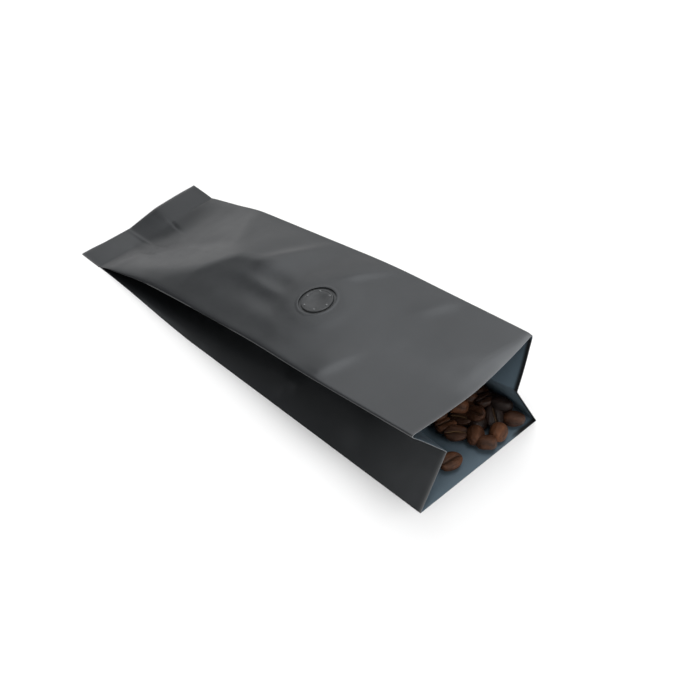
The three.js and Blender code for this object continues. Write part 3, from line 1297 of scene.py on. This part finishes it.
    def ring(self, x: float, wall: float, sealed: bool = False) -> np.ndarray:
        """One ring of the film at a station, counter-clockwise seen from the mouth.

        Args:
            x: The station.
            wall: How far inside the outer face.
            sealed: Whether the gussets are shut in the seal.

        Returns:
            The ring's points.
        """
        form = self.form
        near, far = form.gusset(x, form.near, wall), form.gusset(x, form.far, wall)
        t = float(form.open_share(np.array([x]))[0])
        shut = form.half_width + form.seal_thickness / 4
        near_crease = np.array([-shut if sealed else near.crease_y, near.crease_z])
        far_crease = np.array([shut if sealed else far.crease_y, far.crease_z])
        plain = self.fold_round
        far_roll, near_roll = rolls = (self.roll_at(x, form.far), self.roll_at(x, form.near))
        back_y = self.panel_run(near.bottom_y, far.bottom_y, self.back_steps, (plain, plain), 0.0)
        front_y = self.panel_run(far.top_y, near.top_y, self.front_steps, rolls, self.middle_density)
        far_upper = self.leaf_run(far_crease, far.top, (plain, far_roll))
        near_upper = self.leaf_run(near.top, near_crease, (near_roll, plain))
        runs = [
            np.stack([back_y, form.back_height(np.full_like(back_y, x), back_y) + wall], axis=1),
            self.leaf_run(far.bottom, far_crease, (plain, plain)),
            self.bowed(far_upper, far.top, form.far, far.opening, t),
            np.stack([front_y, form.front_height(np.full_like(front_y, x), front_y) - wall], axis=1),
            self.bowed(near_upper, near.top, form.near, near.opening, t),
            self.wrinkled(self.leaf_run(near_crease, near.bottom, (plain, plain)), x),
        ]
        ring = self.rounded(runs, [far.bottom, far_crease, far.top, near.top, near_crease, near.bottom])
        return form.place(np.full(len(ring), x), ring[:, 0], ring[:, 1])

    def station_line(self, start: float) -> np.ndarray:
        """Stations up to the mouth, closer together at the valve.

        Args:
            start: The first one.

        Returns:
            The stations.
        """
        low, high = self.form.valve_x - self.valve_reach, self.form.valve_x + self.valve_reach
        behind = np.linspace(start, low, self.seal_side_stations, endpoint=False)
        beside = np.linspace(low, high, self.valve_stations, endpoint=False)
        ahead = np.linspace(high, self.form.mouth_x, self.mouth_side_stations)
        return np.concatenate([behind, beside, ahead])

    def shell(self, finishes: list[bpy.types.Material]) -> bpy.types.Object:
        """The closed film: outer face, inner face, the rim at the mouth and the two ends.

        Args:
            finishes: One for each of the film's sides.

        Returns:
            The film without its hole.
        """
        form = self.form
        start, end = form.seal_x + 2.0 * self.end_step, form.band_x - self.shut_length
        band = np.linspace(start, end, self.band_stations)
        band = np.concatenate([[form.seal_x, form.seal_x + self.end_step], band])
        open_x = self.station_line(form.band_x)
        hollow_x = self.station_line(form.band_x + form.cavity_start)
        outer = [self.ring(x, 0.0, sealed=True) for x in band] + [self.ring(x, 0.0) for x in open_x]
        inner = [self.ring(x, form.film) for x in hollow_x]
        count, base = len(outer[0]), len(outer) * len(outer[0])
        outer_starts = [i * count for i in range(len(outer))]
        inner_starts = [base + i * count for i in range(len(inner))]
        outside, lining = [], []
        for first, second in zip(outer_starts, outer_starts[1:]):
            outside += strip_faces(count, first, second)
        for first, second in zip(inner_starts, inner_starts[1:]):
            lining += [face[::-1] for face in strip_faces(count, first, second)]
        parts = [
            (FilmSide.OUTSIDE, outside),
            (FilmSide.LINING, lining),
            (FilmSide.CUT_EDGE, strip_faces(count, outer_starts[-1], inner_starts[-1])),
            (FilmSide.CUT_EDGE, [tuple(range(count))[::-1]]),
            (FilmSide.LINING, [tuple(range(base, base + count))]),
        ]
        faces = [face for _, part in parts for face in part]
        film = mesh_object("bag_film_skin", np.concatenate(outer + inner), faces)
        for finish in finishes:
            film.data.materials.append(finish)
        slots = [side.value for side, part in parts for _ in part]
        film.data.polygons.foreach_set("material_index", slots)
        return film

    def cut_hole(self, film: bpy.types.Object) -> None:
        """Cut the round hole that the valve shows through.

        Args:
            film: The film, which gets the cut mesh.
        """
        drill_mesh = bpy.data.meshes.new("drill")
        radius, depth = self.hole_radius * MM, self.drill_depth * MM
        tool = bmesh.new()
        bmesh.ops.create_cone(
            tool, cap_ends=True, segments=self.drill_segments, radius1=radius, radius2=radius, depth=depth
        )
        tool.transform(self.form.valve_matrix())
        tool.to_mesh(drill_mesh)
        tool.free()
        drill = bpy.data.objects.new("drill", drill_mesh)
        bpy.context.scene.collection.objects.link(drill)
        cut = film.modifiers.new("hole", "BOOLEAN")
        cut.operation = "DIFFERENCE"
        cut.solver = "MANIFOLD"
        cut.object = drill
        evaluated = film.evaluated_get(bpy.context.evaluated_depsgraph_get())
        mesh = bpy.data.meshes.new_from_object(evaluated)
        film.modifiers.clear()
        film.data = mesh
        bpy.data.objects.remove(drill)

    def mark_folds(self, film: bpy.types.Object) -> None:
        """Store the painted highlights along the folds and cut edges, the lining's painted shade by the far
        rim, and the pressed seal.

        Args:
            film: The film.
        """
        form, mesh = self.form, film.data
        points = np.empty(len(mesh.vertices) * 3)
        mesh.vertices.foreach_get("co", points)
        x, y, z = (points.reshape(-1, 3) / MM).T
        station = x + form.mouth_lean / form.lean_height * z
        fold = np.maximum(form.half_width - np.abs(y), 0.0)
        end = np.maximum(x - form.seal_x, 0.0)
        rim = np.maximum(form.mouth_x - station, 0.0)
        on_leaf = smooth_step(form.front_height(station, y) - z, *self.leaf_depth)

        # Painted highlights along the folds, stronger on the near one towards the mouth, at the seal's end
        # and at the mouth's rim.
        to_mouth = smooth_step(station, *self.near_grows)
        near = self.near_share + (self.near_mouth_share - self.near_share) * to_mouth
        pale = np.where(y < 0.0, near, self.far_share) * np.exp(-((fold / self.fold_highlight_width) ** 2))
        pale *= 1.0 - on_leaf
        pale += self.end_share * np.exp(-((end / self.end_highlight_width) ** 2))
        edge = self.rim_share + (self.leaf_rim_share - self.rim_share) * on_leaf
        pale += edge * np.exp(-((rim / self.rim_highlight_width) ** 2))
        store(mesh, "crease", np.minimum(pale, 1.0))

        # Painted shade on the far gusset's leaves, full at the mouth's rim and fading inwards.
        margin = on_leaf * smooth_step(y, *self.shade_margin_grows_y)
        inside = smooth_step(rim, self.shade_margin_width, self.shade_margin_width + self.shade_margin_fade)
        store(mesh, "margin", margin * (1.0 - inside))

        flat = 1.0 - smooth_step(x, form.band_x, form.toe_x + self.pressed_fade)
        lifted = smooth_step(y, form.step_near_y - self.pressed_edge, form.step_near_y + self.pressed_edge)
        store(mesh, "pressed", flat * (self.pressed_near + (1.0 - self.pressed_near) * lifted))

    def build(self, finishes: list[bpy.types.Material]) -> bpy.types.Object:
        """Make the film.

        Args:
            finishes: One for each of the film's sides.

        Returns:
            The finished piece.
        """
        film = self.shell(finishes)
        self.cut_hole(film)
        self.mark_folds(film)
        shade_smooth(film.data, self.sharp_angle)
        dress(film, "film", "bag_film")
        return film


class TreeMaker(NodeBoard):
    """Makes one Geometry Nodes tree with named inputs."""

    def __init__(self, name: str) -> None:
        """Start a tree with a geometry in and a geometry out.

        Args:
            name: The tree's name.
        """
        self.tree = bpy.data.node_groups.new(name, "GeometryNodeTree")
        self.tree.interface.new_socket("Geometry", in_out="INPUT", socket_type="NodeSocketGeometry")
        self.tree.interface.new_socket("Geometry", in_out="OUTPUT", socket_type="NodeSocketGeometry")
        self.values: dict[str, object] = {}
        self.entry = self.tree.nodes.new("NodeGroupInput")
        self.exit = self.tree.nodes.new("NodeGroupOutput")

    def input(self, name: str, kind: str, value: object) -> Socket:
        """Add a named input.

        Args:
            name: Its name.
            kind: Its socket type.
            value: What the modifier sets it to.

        Returns:
            The socket inside the tree.
        """
        item = self.tree.interface.new_socket(name, in_out="INPUT", socket_type=kind)
        self.values[item.identifier] = value
        return self.entry.outputs[name]

    def named(self, name: str, kind: str) -> Socket:
        """An attribute of the points.

        Args:
            name: Its name.
            kind: Its data type.

        Returns:
            The socket that gives it.
        """
        made = self.node("GeometryNodeInputNamedAttribute", data_type=kind)
        made.inputs["Name"].default_value = name
        return made.outputs["Attribute"]

    def close(self, geometry: Socket, material: Socket) -> None:
        """End the tree in real geometry with its material.

        Args:
            geometry: What the tree makes.
            material: The material's socket.
        """
        real = self.node("GeometryNodeRealizeInstances")
        dressed = self.node("GeometryNodeSetMaterial")
        self.link(geometry, real.inputs["Geometry"])
        self.link(real.outputs["Geometry"], dressed.inputs["Geometry"])
        self.link(material, dressed.inputs["Material"])
        self.link(dressed.outputs["Geometry"], self.exit.inputs["Geometry"])

    def apply(self, target: bpy.types.Object, name: str) -> bpy.types.Object:
        """Run the tree on an object and keep the result as a plain mesh.

        Args:
            target: What the tree starts from; it is removed.
            name: The finished piece's name.

        Returns:
            The finished piece.
        """
        modifier = target.modifiers.new("make", "NODES")
        modifier.node_group = self.tree
        for identifier, value in self.values.items():
            modifier[identifier] = value
        evaluated = target.evaluated_get(bpy.context.evaluated_depsgraph_get())
        mesh = bpy.data.meshes.new_from_object(evaluated)
        mesh.name = name
        bpy.data.objects.remove(target)
        made = bpy.data.objects.new(name, mesh)
        bpy.context.scene.collection.objects.link(made)
        return made


@dataclass
class Valve:
    """The one-way valve: a flange under the film, a flat face in its hole and a ring of pips."""

    form: BagForm
    hole_radius: float = 9.6
    face_radius: float = 8.2
    flange_radius: float = 11.8
    flange_thickness: float = 1.6
    gap: float = 0.1
    moat: float = 0.4
    face_proud: float = 0.2
    edge_round: float = 0.35
    segments: int = 96
    pip_count: int = 6
    pip_ring: float = 6.6
    pip_radius: float = 0.68
    pip_flatness: float = 0.7
    pip_segments: int = 32
    pip_rings: int = 20
    first_pip: float = 3.0
    # Steps of the outline: the flange's bevel, the groove round the face and the dish in the face.
    flange_bevel: float = 0.2
    groove_top: float = 0.4
    groove_foot: float = 0.25
    face_foot: float = 0.15
    edge_steps: int = 6
    rim_width: float = 0.9
    rim_foot: float = 1.2
    dish: float = 0.12
    well_top: float = 4.6
    well_foot: float = 4.2
    sharp_angle: float = 18.0

    def profile(self) -> list[tuple[float, float]]:
        """Outline of the turned body, from its underside to the middle of its face.

        Returns:
            Radius and height of each point.
        """
        top = -self.form.film - self.gap
        low = top - self.flange_thickness
        floor = top - self.moat
        bevel, flange, face = self.flange_bevel, self.flange_radius, self.face_proud
        outline = [(0.0, low), (flange - bevel, low), (flange, low + bevel)]
        outline += [(flange, top - bevel), (flange - bevel, top)]
        outline += [(self.hole_radius + self.groove_top, top), (self.hole_radius + self.groove_foot, floor)]
        outline += [(self.face_radius + self.face_foot, floor), (self.face_radius, floor + self.face_foot)]
        for i in range(self.edge_steps + 1):
            angle = math.radians(90.0 * i / self.edge_steps)
            radius = self.face_radius - self.edge_round * (1.0 - math.cos(angle))
            outline.append((radius, face - self.edge_round * (1.0 - math.sin(angle))))
        outline.append((self.face_radius - self.rim_width, face))
        outline.append((self.face_radius - self.rim_foot, face - self.dish))
        outline += [(self.well_top, face - self.dish), (self.well_foot, face - 2 * self.dish)]
        outline.append((0.0, face - 2 * self.dish))
        return outline

    def turned(self) -> bpy.types.Object:
        """Turn the body from its outline.

        Returns:
            The body without its pips.
        """
        outline = self.profile()
        inner = outline[1:-1]
        angles = np.arange(self.segments) * 2 * np.pi / self.segments
        circle = np.stack([np.cos(angles), np.sin(angles), np.zeros_like(angles)], axis=1)
        rows = [radius * circle + (0.0, 0.0, height) for radius, height in inner]
        points = np.concatenate([*rows, [[0.0, 0.0, outline[0][1]], [0.0, 0.0, outline[-1][1]]]])
        n, faces = self.segments, []
        low, high = len(inner) * n, len(inner) * n + 1
        last_row = low - n
        for first in range(0, last_row, n):
            faces += strip_faces(n, first, first + n)
        for j in range(n):
            k = (j + 1) % n
            faces.append((low, k, j))
            faces.append((high, last_row + j, last_row + k))
        return mesh_object("valve_turned", points, faces)

    def tree(self, finish: bpy.types.Material) -> TreeMaker:
        """The tree that adds the ring of pips.

        Args:
            finish: The valve's material.

        Returns:
            The tree.
        """
        t = TreeMaker("valve_pips")
        count = t.input("Pip Count", "NodeSocketInt", self.pip_count)
        ring = t.input("Ring Radius", "NodeSocketFloat", self.pip_ring * MM)
        radius = t.input("Pip Radius", "NodeSocketFloat", self.pip_radius * MM)
        height = t.input("Face Height", "NodeSocketFloat", (self.face_proud - self.dish) * MM)
        first = t.input("First Pip", "NodeSocketFloat", math.radians(self.first_pip))
        material = t.input("Material", "NodeSocketMaterial", finish)
        circle = t.node("GeometryNodeMeshCircle")
        t.link(count, circle.inputs["Vertices"])
        t.link(ring, circle.inputs["Radius"])
        place = t.node("GeometryNodeTransform")
        lift, turn = t.node("ShaderNodeCombineXYZ"), t.node("ShaderNodeCombineXYZ")
        t.link(height, lift.inputs["Z"])
        t.link(first, turn.inputs["Z"])
        t.link(circle.outputs["Mesh"], place.inputs["Geometry"])
        t.link(lift.outputs[0], place.inputs["Translation"])
        t.link(turn.outputs[0], place.inputs["Rotation"])
        pip = t.node("GeometryNodeMeshUVSphere")
        pip.inputs["Segments"].default_value = self.pip_segments
        pip.inputs["Rings"].default_value = self.pip_rings
        t.link(radius, pip.inputs["Radius"])
        marked = t.node("GeometryNodeStoreNamedAttribute", data_type="FLOAT", domain="POINT")
        marked.inputs["Name"].default_value = "pip"
        marked.inputs["Value"].default_value = 1.0
        t.link(pip.outputs["Mesh"], marked.inputs["Geometry"])
        instances = t.node("GeometryNodeInstanceOnPoints")
        instances.inputs["Scale"].default_value = (1.0, 1.0, self.pip_flatness)
        t.link(place.outputs["Geometry"], instances.inputs["Points"])
        t.link(marked.outputs["Geometry"], instances.inputs["Instance"])
        joined = t.node("GeometryNodeJoinGeometry")
        t.link(t.entry.outputs["Geometry"], joined.inputs["Geometry"])
        t.link(instances.outputs["Instances"], joined.inputs["Geometry"])
        t.close(joined.outputs["Geometry"], material)
        return t

    def build(self, finish: bpy.types.Material) -> bpy.types.Object:
        """Make the valve.

        Args:
            finish: Its material.

        Returns:
            The finished piece.
        """
        valve = self.tree(finish).apply(self.turned(), "valve_face")
        valve.data.transform(self.form.valve_matrix())
        shade_smooth(valve.data, self.sharp_angle)
        dress(valve, "valve", "valve")
        return valve


@dataclass(frozen=True)
class BeanSpot:
    """Where one bean lies, in millimetres and degrees.

    Attributes:
        x: Middle along the bag.
        y: Middle across the bag.
        z: Height of its middle.
        turn: Turn about the vertical.
        lean: Lean about its own length, 0 with the creased side up.
        roast: How dark it is, from 0 to 1, from its roasting and, on the beans at the back of the heap,
            from painted shade.
        kind: Its shape.
        pitch: How far its far end is lowered.
        chaff: How much pale skin is left in its crease, from 0 to 1.
    """

    x: float
    y: float
    z: float
    turn: float
    lean: float
    roast: float
    kind: BeanKind = BeanKind.FULL
    pitch: float = 0.0
    chaff: float = 0.15


@dataclass
class Beans:
    """The roasted beans: a heap in the mouth and one that lies by itself."""

    # One bean: its size and mesh, its blunt ends and flatter side, that side's crease and the uneven skin.
    length: float = 11.4
    width: float = 8.6
    thickness: float = 6.0
    rings: int = 30
    around: int = 44
    bluntness: float = 2.25
    flat_depth: float = 0.42
    crease_depth: float = 0.34
    crease_width: float = 0.085
    crease_crowding: float = 0.62
    crease_sway: float = 0.07
    crease_end_power: int = 4
    lobe_power: float = 0.55
    kind_phase: float = 1.3
    wobble_round: float = 0.025
    wobble_along: float = 0.02
    taper: float = 0.10
    groove_gain: float = 1.4
    groove_cut: float = 0.35
    # Where the beans lie, and how much their sizes differ.
    seed: int = 7
    size_spread: float = 0.06
    # The darkest beans, at the back of the heap, are darkened by painted shade as well as by roasting.
    heap: tuple[BeanSpot, ...] = (
        BeanSpot(116.6, 9.4, 4.1, 134.0, 176.0, 0.42),
        BeanSpot(123.0, 18.3, 4.0, 118.0, 186.0, 0.2, BeanKind.ROUND),
        BeanSpot(123.4, 9.4, 4.0, 44.0, 172.0, 0.58, BeanKind.ROUND),
        BeanSpot(122.4, 29.8, 4.3, 44.0, 200.0, 0.68, BeanKind.SLIM),
        BeanSpot(115.9, 23.2, 6.4, 140.0, 4.0, 1.0, BeanKind.FULL, -24.0, 0.35),
        BeanSpot(109.8, 16.4, 8.6, 12.0, 18.0, 0.66, BeanKind.ROUND, -14.0, 0.1),
        BeanSpot(109.6, 3.6, 4.8, 44.0, 22.0, 0.6, BeanKind.SLIM, 0.0, 0.8),
        BeanSpot(102.4, 4.6, 4.8, 70.0, -14.0, 0.25, BeanKind.FULL, 0.0, 0.4),
        BeanSpot(105.6, 11.2, 6.2, 20.0, 12.0, 0.82, BeanKind.SLIM, -8.0, 0.7),
        BeanSpot(100.6, 14.0, 8.2, 40.0, 165.0, 0.20, BeanKind.ROUND),
        BeanSpot(95.5, 6.0, 4.6, 80.0, 175.0, 0.4),
        BeanSpot(114.2, 29.6, 8.2, 30.0, 195.0, 1.0, BeanKind.SLIM),
        BeanSpot(107.4, 26.6, 9.0, 75.0, -15.0, 0.8),
        BeanSpot(113.0, 15.0, 4.3, 95.0, 182.0, 1.0),
        BeanSpot(104.6, 19.4, 4.6, 0.0, 160.0, 0.7),
        BeanSpot(99.0, 22.6, 7.4, 15.0, 160.0, 0.6),
        BeanSpot(99.0, 30.0, 5.0, 50.0, 185.0, 0.7),
        BeanSpot(92.0, 10.5, 5.2, 35.0, 160.0, 0.5),
        BeanSpot(91.0, 19.0, 4.8, 85.0, 185.0, 0.5),
        BeanSpot(90.0, 27.0, 4.6, 135.0, 210.0, 0.5),
        BeanSpot(82.0, 12.0, 4.4, 70.0, 160.0, 0.5),
        BeanSpot(82.0, 21.5, 4.4, 120.0, 185.0, 0.5),
    )
    lone: BeanSpot = BeanSpot(119.6, -11.0, 4.8, 74.0, 10.0, 0.42, BeanKind.FULL, 0.0, 0.1)

    def shape(self, kind: BeanKind) -> bpy.types.Object:
        """One bean about its own middle, its length along X and its creased side up.

        Args:
            kind: Which shape.

        Returns:
            The bean, for copying.
        """
        longer, wider = STRETCH[kind]
        along = np.cos(np.linspace(0.0, np.pi, self.rings + 1)[1:-1])
        step = np.linspace(-np.pi, np.pi, self.around, endpoint=False)
        angle = np.pi / 2 + step - self.crease_crowding * np.sin(step)
        u, a = np.meshgrid(along, angle, indexing="ij")
        radius = (1.0 - np.abs(u) ** self.bluntness) ** (1.0 / self.bluntness)
        v, w = radius * np.cos(a), radius * np.sin(a)
        phase = self.kind_phase * kind.value
        middle = self.crease_sway * np.sin(np.pi * u + phase)
        ends = np.clip(1.0 - u**self.crease_end_power, 0.0, 1.0)
        groove = np.exp(-np.abs(v - middle) / self.crease_width) * ends * (w > 0)
        lobes = np.abs(np.clip(w, 0.0, 1.0)) ** self.lobe_power
        depth = np.where(w > 0, self.flat_depth * lobes - self.crease_depth * groove, w)
        # Two shallow waves: one winds round the bean and one runs along it.
        wobble = 1.0 + self.wobble_round * np.sin(2.0 * a + 3.0 * u + phase)
        wobble = wobble + self.wobble_along * np.sin(5.0 * u + 2.0 * phase)
        half_length = self.length / 2 * longer
        half_width = self.width / 2 * wider * (1.0 - self.taper * u * math.cos(phase))
        half_thickness = self.thickness / (1.0 + self.flat_depth)
        across, up = v * wobble * half_width, depth * wobble * half_thickness
        points = np.stack([u * half_length, across, up], axis=-1).reshape(-1, 3)
        tips = np.array([[half_length, 0, 0], [-half_length, 0, 0]])
        n, rows, faces = self.around, len(along), []
        first, last = rows * n, rows * n + 1
        for j in range(n):
            k = (j + 1) % n
            faces += [(i * n + j, (i + 1) * n + j, (i + 1) * n + k, i * n + k) for i in range(rows - 1)]
            faces.append((first, j, k))
            faces.append((last, (rows - 1) * n + k, (rows - 1) * n + j))
        points = np.concatenate([points, tips])
        bean = mesh_object(f"bean_{kind.name.lower()}", points, faces)
        # How much painted shade the crease gets, most along its middle.
        dark = np.clip(groove.ravel() * self.groove_gain - self.groove_cut, 0.0, 1.0)
        store(bean.data, "groove", np.concatenate([dark, [0.0, 0.0]]))
        store(bean.data, "bean_local", points * MM)
        bean.data.shade_smooth()
        return bean

    def tree(self, shapes: list[bpy.types.Object], finish: bpy.types.Material) -> TreeMaker:
        """The tree that puts a bean at each point.

        Args:
            shapes: One bean of each kind.
            finish: Their material.

        Returns:
            The tree.
        """
        t = TreeMaker("bean_heap")
        material = t.input("Material", "NodeSocketMaterial", finish)
        seed = t.input("Seed", "NodeSocketInt", self.seed)
        spread = t.input("Size Spread", "NodeSocketFloat", self.size_spread)
        kinds = t.node("GeometryNodeJoinGeometry")
        for shape in reversed(shapes):
            info = t.node("GeometryNodeObjectInfo", transform_space="ORIGINAL")
            info.inputs["Object"].default_value = shape
            info.inputs["As Instance"].default_value = True
            t.link(info.outputs["Geometry"], kinds.inputs["Geometry"])
        turned = t.node("FunctionNodeEulerToRotation")
        t.link(t.named("bean_turn", "FLOAT_VECTOR"), turned.inputs["Euler"])
        low = t.node("ShaderNodeMath", operation="SUBTRACT")
        high = t.node("ShaderNodeMath", operation="ADD")
        size = t.node("FunctionNodeRandomValue", data_type="FLOAT")
        for side in (low, high):
            side.inputs[0].default_value = 1.0
            t.link(spread, side.inputs[1])
        t.link(low.outputs[0], size.inputs[RANDOM_LOW])
        t.link(high.outputs[0], size.inputs[RANDOM_HIGH])
        t.link(seed, size.inputs["Seed"])
        placed = t.node("GeometryNodeInstanceOnPoints")
        placed.inputs["Pick Instance"].default_value = True
        t.link(t.entry.outputs["Geometry"], placed.inputs["Points"])
        t.link(kinds.outputs["Geometry"], placed.inputs["Instance"])
        t.link(t.named("bean_kind", "INT"), placed.inputs["Instance Index"])
        t.link(turned.outputs["Rotation"], placed.inputs["Rotation"])
        t.link(size.outputs[RANDOM_VALUE], placed.inputs["Scale"])
        t.close(placed.outputs["Instances"], material)
        return t

    def scatter(
        self, name: str, spots: tuple[BeanSpot, ...], tree: TreeMaker, node: str
    ) -> bpy.types.Object:
        """Put beans at their spots.

        Args:
            name: The finished piece's name.
            spots: Where they lie.
            tree: The tree that places them.
            node: The node that they stand for.

        Returns:
            The finished piece.
        """
        carrier = mesh_object(f"{name}_spots", np.array([[s.x, s.y, s.z] for s in spots]), [])
        turns = np.radians([[s.lean, s.pitch, s.turn] for s in spots])
        store(carrier.data, "bean_turn", turns)
        store(carrier.data, "roast", np.array([s.roast for s in spots]))
        store(carrier.data, "chaff", np.array([s.chaff for s in spots]))
        kinds = carrier.data.attributes.new("bean_kind", "INT", "POINT")
        kinds.data.foreach_set("value", [s.kind.value for s in spots])
        piece = tree.apply(carrier, name)
        dress(piece, "bean", node)
        return piece

    def build(self, finish: bpy.types.Material) -> list[bpy.types.Object]:
        """Make the beans.

        Args:
            finish: Their material.

        Returns:
            The heap and the single bean.
        """
        shapes = [self.shape(kind) for kind in BeanKind]
        tree = self.tree(shapes, finish)
        pieces = [
            self.scatter("heap_beans", self.heap, tree, "bean_heap"),
            self.scatter("single_bean", (self.lone,), tree, "lone_bean"),
        ]
        for shape in shapes:
            bpy.data.objects.remove(shape)
        return pieces


@dataclass(frozen=True)
class SoftBox:
    """A large soft light, in metres and watts.

    Attributes:
        name: Its name.
        place: Where it stands.
        aim: What it points at.
        size: Width and height.
        power: Its power.
    """

    name: str
    place: tuple[float, float, float]
    aim: tuple[float, float, float]
    size: tuple[float, float]
    power: float

    def build(self) -> None:
        """Make the light."""
        data = bpy.data.lights.new(self.name, "AREA")
        data.shape = "RECTANGLE"
        data.size, data.size_y = self.size
        data.energy = self.power
        light = bpy.data.objects.new(self.name, data)
        light.location = self.place
        light.rotation_euler = (Vector(self.aim) - Vector(self.place)).to_track_quat("-Z", "Y").to_euler()
        bpy.context.scene.collection.objects.link(light)


@dataclass
class Studio:
    """A pale floor, soft light and the camera at the photograph's angle."""

    image_side: float = 700.0
    focal_pixels: float = 1312.0
    sensor: float = 36.0
    camera_place: tuple[float, float, float] = (0.3787, -0.3170, 0.4604)
    azimuth: float = 46.71
    elevation: float = 43.90
    roll: float = 1.30
    floor_side: float = 8.0
    world_strength: float = 0.16
    lights: tuple[SoftBox, ...] = (
        SoftBox("high_light", (-0.547, 0.435, 1.212), (0.0, 0.0, 0.0), (0.93, 0.37), 3.25),
        SoftBox("key_light", (-0.778, 0.738, 0.900), (0.0, 0.0, 0.0), (0.85, 0.62), 2.25),
        SoftBox("low_light", (-1.167, 0.701, 0.345), (0.0, 0.0, 0.02), (1.95, 0.68), 3.0),
        SoftBox("top_light", (0.10, 0.08, 1.7), (0.0, 0.0, 0.0), (1.2, 1.2), 21.0),
        SoftBox("front_light", (0.70, -1.10, 0.70), (0.0, 0.0, 0.02), (0.8, 0.8), 1.6),
        SoftBox("side_light", (-0.62, -1.18, 0.58), (0.08, -0.03, 0.02), (0.5, 0.35), 0.55),
        SoftBox("mouth_fill", (1.32, 0.12, 0.66), (0.1, 0.0, 0.02), (0.8, 0.6), 7.5),
        SoftBox("dim_light", (-1.20, 0.08, 0.72), (0.0, 0.0, 0.02), (0.7, 0.6), 0.3),
        SoftBox("roll_light", (-0.95, -0.55, 1.15), (0.0, 0.0, 0.02), (0.7, 0.5), 0.06),
    )

    def camera(self) -> None:
        """Make the camera."""
        data = bpy.data.cameras.new("camera")
        data.sensor_width = self.sensor
        data.lens = self.sensor * self.focal_pixels / self.image_side
        az, el, roll = (math.radians(a) for a in (self.azimuth, self.elevation, self.roll))
        back = Vector((math.sin(az) * math.cos(el), -math.cos(az) * math.cos(el), math.sin(el)))
        right = (-back).cross(Vector((0.0, 0.0, 1.0))).normalized()
        down = (-back).cross(right)
        side = right * math.cos(roll) + down * math.sin(roll)
        up = right * math.sin(roll) - down * math.cos(roll)
        camera = bpy.data.objects.new("camera", data)
        turn = Matrix((side, up, back)).transposed().to_4x4()
        camera.matrix_world = Matrix.Translation(self.camera_place) @ turn
        bpy.context.scene.collection.objects.link(camera)
        bpy.context.scene.camera = camera

    def floor(self) -> None:
        """Make the floor."""
        half = self.floor_side / 2 / MM
        corners = np.array([[-half, -half, 0.0], [half, -half, 0.0], [half, half, 0.0], [-half, half, 0.0]])
        floor = mesh_object("floor", corners, [(0, 1, 2, 3)])
        floor.data.materials.append(FloorFinish().make())

    def build(self) -> None:
        """Make the floor, the lights, the world and the camera."""
        scene = bpy.context.scene
        scene.view_settings.view_transform = "Standard"
        world = bpy.data.worlds.new("studio")
        world.use_nodes = True
        sky = world.node_tree.nodes["Background"].inputs
        sky["Color"].default_value = (1.0, 1.0, 1.0, 1.0)
        sky["Strength"].default_value = self.world_strength
        scene.world = world
        self.floor()
        for light in self.lights:
            light.build()
        self.camera()


def main() -> None:
    """Build the studio and every piece of the bag."""
    logging.basicConfig(level=logging.INFO, format="%(name)s %(message)s")
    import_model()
    Studio().build()
    form = BagForm()
    valve = Valve(form)
    finishes = [FilmFinish().make(), LiningFinish().make(), CutEdgeFinish().make()]
    FilmBag(form, hole_radius=valve.hole_radius).build(finishes)
    valve.build(ValveFinish().make())
    Beans().build(BeanFinish().make())


if __name__ == "__main__":
    main()
